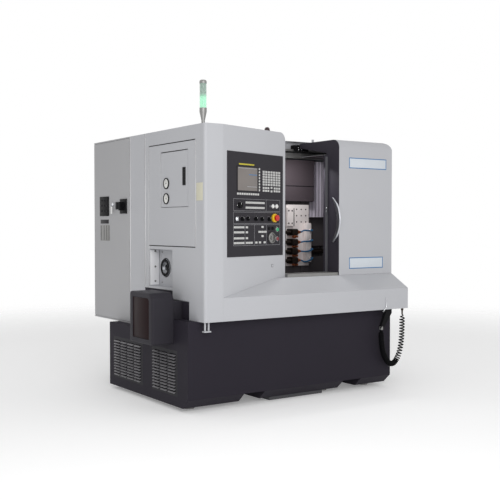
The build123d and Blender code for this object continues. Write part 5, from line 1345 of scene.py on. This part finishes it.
BARE_PLATES = (
    ("small", (-1, 1388, 1204), (0, 1532, 1234), "gauge_black", bezel_plastic),
    ("bare", (-1, 1372, 1074), (0, 1534, 1194), "ground_steel", plated_steel),
)
for name, low, high, slot, finish in BARE_PLATES:
    left_plate(f"cabinet_{name}_plate", low, high, 0.0002, CABINET, slot, finish)
grooves = [at(-1.2, y, 1134) for y in (1384, 1424, 1470, 1524)]
repeated(
    "cabinet_plate_grooves", BARS, grooves, CABINET, "gauge_black", bezel_plastic,
    Size=(0.0006, 0.006, 0.112),
)
lock = bmesh.new()
turned(lock, at(0, 1306, 1346), LEFTWARD, disc_profile(0.014, 0.008, 0.001))
block(lock, at(-20, 1304, 1330), at(-8, 1308, 1346), 0.0006)
finished("cabinet_lock", lock, CABINET, "bright_steel", bright_steel)
tag = ((-18, 1294, 1276), (-16, 1318, 1330))
left_plate("cabinet_key_tag", *tag, 0.0006, CABINET, "button_white", white_cap)
corner_place = ((-1.2, 22, 1346), (0, 100, 1458))
left_plate("corner_plate", *corner_place, THIN_EDGE, "machine", "cover_grey", plate_cream)
print("cabinet fittings made")

# %% [markdown]
# Coolant comes down a bright manifold and crosses to each tool in a bent blue hose that ends in
# a copper nozzle. The solid is one grey stand-in, so these pieces take its place, each with its
# own metal. The hoses are tubes along smooth curves.

# %% Coolant lines
HOLDER_HEIGHTS = (925, 994, 1063, 1139)
HOSE_RISES = (-14, -4, 6, 16)
MANIFOLD_DEPTH, UNION_X, UNION_LIFT = 0.042, 1344, 16
NOZZLE_X, NOZZLE_INSET, NOZZLE_SIDES, STUB_X, STUB_DROP = 1200, 0.009, 20, 1214, 34
HOSE_START_X, HOSE_RADIUS, HOSE_INSET = 1222, 0.0062, 0.004
NOZZLE = ((0, 0), (0.014, 0), (0.014, 0.020), (0.009, 0.024), (0.009, 0.034), (0, 0.034))
STUB = ((0, 0), (0.013, 0), (0.013, 0.026), (0.008, 0.031), (0.008, 0.052), (0, 0.052))
RIGHTWARD, FORWARD = (1, 0, 0), (0, -1, 0)
nozzle_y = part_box("coolant_lines")[0][1] + NOZZLE_INSET


def on_slide(x, proud, z):
    """A place in front of the slide: millimetres across and up, metres proud of its face."""
    return Vector((at(x, 0, 0).x, slide_front - proud, z * MM))


manifold = bmesh.new()
block(manifold, on_slide(1306, MANIFOLD_DEPTH, 906), on_slide(1360, 0, 1208), 0.008)
for z in HOLDER_HEIGHTS:
    union = on_slide(UNION_X, MANIFOLD_DEPTH, z + UNION_LIFT)
    turned(manifold, union, FORWARD, disc_profile(0.009, 0.010, 0.001), 6)
manifold = finished("coolant_manifold", manifold, "cross_slide", "bright_steel", slide_steel)
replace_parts(manifold, "coolant_lines")
nozzles = bmesh.new()
for z in HOLDER_HEIGHTS:
    turned(nozzles, (at(NOZZLE_X, 0, 0).x, nozzle_y, z * MM), RIGHTWARD, NOZZLE, NOZZLE_SIDES)
    turned(nozzles, on_slide(STUB_X, 0, z - STUB_DROP), FORWARD, STUB, NOZZLE_SIDES)
finished("coolant_nozzles", nozzles, "cross_slide", "bright_steel", copper)
for number, (z, rise) in enumerate(zip(HOLDER_HEIGHTS, HOSE_RISES), 1):
    start = Vector((at(HOSE_START_X, 0, 0).x, nozzle_y, z * MM))
    goal = on_slide(UNION_X, MANIFOLD_DEPTH + HOSE_INSET, z + UNION_LIFT)
    route = (
        start,
        start + Vector((0.022, -0.004, 0.0)),
        start + Vector((0.040, -0.012, rise * MM)),
        start + Vector((0.080, -0.016, rise * MM * 0.6)),
        Vector((goal.x + 0.012, nozzle_y - 0.004, goal.z - 0.004)),
        goal + Vector((0.004, -0.012, 0)),
        goal,
    )
    name = f"coolant_hose_{number}"
    line = tube_along(name, route, HOSE_RADIUS, 3, blue_hose)
    tube = drawn_mesh(line)
    bpy.data.objects.remove(line)
    tube.shade_smooth()
    piece = put(name, tube)
    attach(piece, "cross_slide")
print("coolant hoses", len(HOLDER_HEIGHTS))

# %% [markdown]
# The slide's threaded holes and the slot beside its clamp plate read as black marks. Screw heads
# fill the holes, and a dark strip in the slot paints the shade inside it.

# %% Marks on the slide
BLACK = ("cross_slide", "knob_black", black_plastic)
clamp_holes = [on_slide(x, 0.0125, z) for x in (1161, 1193) for z in (1206, 1302)]
screws("clamp_screws", clamp_holes, *BLACK, ON_FRONT, 0.0064, 0.002)
slide_holes = [on_slide(x, 0.0005, z) for x in spread(1289, 44, 3) for z in spread(1265, 48, 3)]
screws("slide_screws", slide_holes, *BLACK, ON_FRONT, 0.0055, 0.002)
# Painted shade: a black strip in the clamp plate's slot.
slot_shade = (on_slide(1214, 0.0035, 1187), on_slide(1221, -0.004, 1321))
slabs("clamp_slot_shade", [slot_shade], 0.0, *BLACK)
print("holes in the slide", len(clamp_holes) + len(slide_holes))

# %% [markdown]
# The saddle's cover has a folded edge, a black rubber strip runs along the door's rail, and a
# dark sheet of painted shade covers the underside of the return. The folds of the bellows are
# sewn: dark seams run up them. Four bright screws hold the door's carriage.

# %% Strips, seams and carriage screws
FOLD_HEIGHTS, FOLD_PROUD = (1.488, 1.494), 0.0012
RAIL_STRIP = (at(800, 641.5, 1739), at(1744, 643.8, 1752))
RETURN_SHADE = (at(1262, 330, 1706.6), at(1700, 643, 1708.8))
SEAM_PLACES, SEAM_PROUD = range(1396, 1640, 34), 0.0006
SEAM_WIDTH, SEAM_DEPTH, SEAM_MARGIN = 0.004, 0.001, 0.004
CARRIAGE_PROUD = 0.001
CARRIAGE_SCREWS = ((0.030, 0.010), (0.034, 0.026), (0.062, 0.022), (0.066, 0.008))
shade_low, shade_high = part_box("saddle_cover")
fold = (
    (shade_low[0], shade_low[1] - FOLD_PROUD, FOLD_HEIGHTS[0]),
    (shade_high[0], shade_low[1], FOLD_HEIGHTS[1]),
)
slabs("saddle_cover_fold", [fold], THIN_EDGE, "saddle_body", "knob_black", black_plastic)
slabs("rail_strip", [RAIL_STRIP], THIN_EDGE, "machine", "belt_rubber", rubber_black)
# Painted shade: a dark sheet over the lit underside of the return.
slabs("return_painted_shade", [RETURN_SHADE], THIN_EDGE, "machine", "liner_grey", shade_paint)
seam_middle = (bellows_low.z + bellows_high.z) / 2
seam_size = (SEAM_WIDTH, SEAM_DEPTH, bellows_high.z - bellows_low.z - SEAM_MARGIN)
seams = [Vector((at(x, 0, 0).x, bellows_low.y - SEAM_PROUD, seam_middle)) for x in SEAM_PLACES]
folds_with_saddle(
    repeated("bellows_seams", BARS, seams, None, "bellows_grey", legend_ink, Size=seam_size)
)
carriage_low, carriage_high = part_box("door_carriage")
row = [
    Vector((carriage_low[0] + along, carriage_low[1] - CARRIAGE_PROUD, carriage_high[2] - down))
    for along, down in CARRIAGE_SCREWS
]
screws("carriage_screws", row, "door", "bright_steel", bright_steel, ON_FRONT, 0.004, 0.003)

# %% [markdown]
# The left side is covered in sheet-metal panels. Their upright edges are folded and catch the
# light as pale lines, while the level seams lie in shade. Slim strips on the sheet paint both:
# pale painted highlights along the uprights, black painted shadow along the tops and bottoms.

# %% Seams on the left side
STRIP_PROUD, STRIP_EDGE = 0.5, 0.0002
# Pale strips are painted highlights on folded edges; black strips are painted shadow in seams.
PALE, DARK = ("machine", "cover_grey", trim_paint), ("machine", "belt_rubber", rubber_black)
UPRIGHTS = (
    (1020, 1034, 483, 1827), (787, 799, 759, 1827), (737, 745, 759, 1732), (105, 113, 1055, 1732),
)
# Name, then near, far, bottom and top of each strip, then the strips' finish.
LEFT_STRIPS = (
    ("upright_painted_highlights", UPRIGHTS, PALE),
    ("level_seam_painted_shadows", ((115, 736, 1730, 1736), (115, 736, 1049, 1055)), DARK),
    ("gauge_door_painted_highlight", ((564, 570, 1312, 1674),), PALE),
    ("gauge_door_painted_shadow", ((207, 562, 1676, 1680),), DARK),
)
for name, strips, dressing in LEFT_STRIPS:
    corners = [
        (at(-STRIP_PROUD, near, bottom), at(0, far, top)) for near, far, bottom, top in strips
    ]
    slabs(name, corners, STRIP_EDGE, *dressing)
print("strips on the left side", sum(len(strips) for _, strips, _ in LEFT_STRIPS))

# %% [markdown]
# In the pocket the rear wall gets a bright plate, a painted highlight for the light from the
# front, and round the turning end of the spindle a black ring paints the shade in its gap. The
# motor cover has a dark pane in its window. A small dome stands on the console's roof and a
# lifting tab on the edge of the main roof.

# %% Pocket, window and roof pieces
POCKET_WALL_HIGHLIGHT = (at(5, 730, 779), at(73, 732.5, 1022))
PANE = (at(COVER_X[0] + 2.5, 312, 459), at(COVER_X[0] + WINDOW_DEPTH, 538, 723))
ROOF_TAB = (at(1366, 648, 1827), at(1382, 660, 1851))
# Painted shade: a black ring for the shadowed gap round the spindle's end.
GAP_SHADE_RING = ring_profile(0.0405, 0.0595, 0.004, 0.001)
DOME_FOOT = at(612, 192, 1827)
DOME = (
    (0, 0), (0.021, 0), (0.021, 0.006), (0.0185, 0.008), (0.017, 0.018), (0.011, 0.026), (0, 0.029),
)
# Painted highlight: a bright plate for the light on the pocket's rear wall.
slabs("pocket_wall_highlight", [POCKET_WALL_HIGHLIGHT], 0.0006, "machine", "cover_grey", trim_paint)
collar_foot = (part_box("draw_cylinder")[0][0], *at(0, 638, 900).yz)
on_spindle = ("spindle_body", "gauge_black", black_plastic)
turnings("spindle_gap_shade", [collar_foot], LEFTWARD, GAP_SHADE_RING, *on_spindle, 48)
slabs("motor_window_pane", [PANE], THIN_EDGE, "machine", "motor_black", window_plastic)
turnings("console_roof_dome", [DOME_FOOT], UPWARD, DOME, "machine", "knob_black", knob_plastic)
slabs("roof_tab", [ROOF_TAB], 0.002, "machine", "cover_grey", cover_paint)
print("pocket, window and roof pieces made")

# %% [markdown]
# The air gun hangs on a bent wire in front of the apron, with a bright collar where its hose
# begins.

# %% Hook and collar
HOOK_ROUTE = (
    (1532, -3, 668), (1534, -5, 640), (1530, -6, 600),
    (1512, -4, 578), (1508, 12, 560), (1524, 26, 566),
)
HOOK_RADIUS = 0.0032
COLLAR_LIFT, COLLAR_NUT = Vector((0, 0, 0.002)), ring_profile(0.0068, 0.0150, 0.024, 0.002)
hook = tube_along("gun_hook", [at(*spot) for spot in HOOK_ROUTE], HOOK_RADIUS, 2, bright_steel)
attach(hook, "machine")
collar_foot = hose_goal + COLLAR_LIFT
bright = ("machine", "bright_steel", plated_steel)
turnings("gun_collar", [collar_foot], UPWARD, COLLAR_NUT, *bright, 6)
print("hook and collar made")
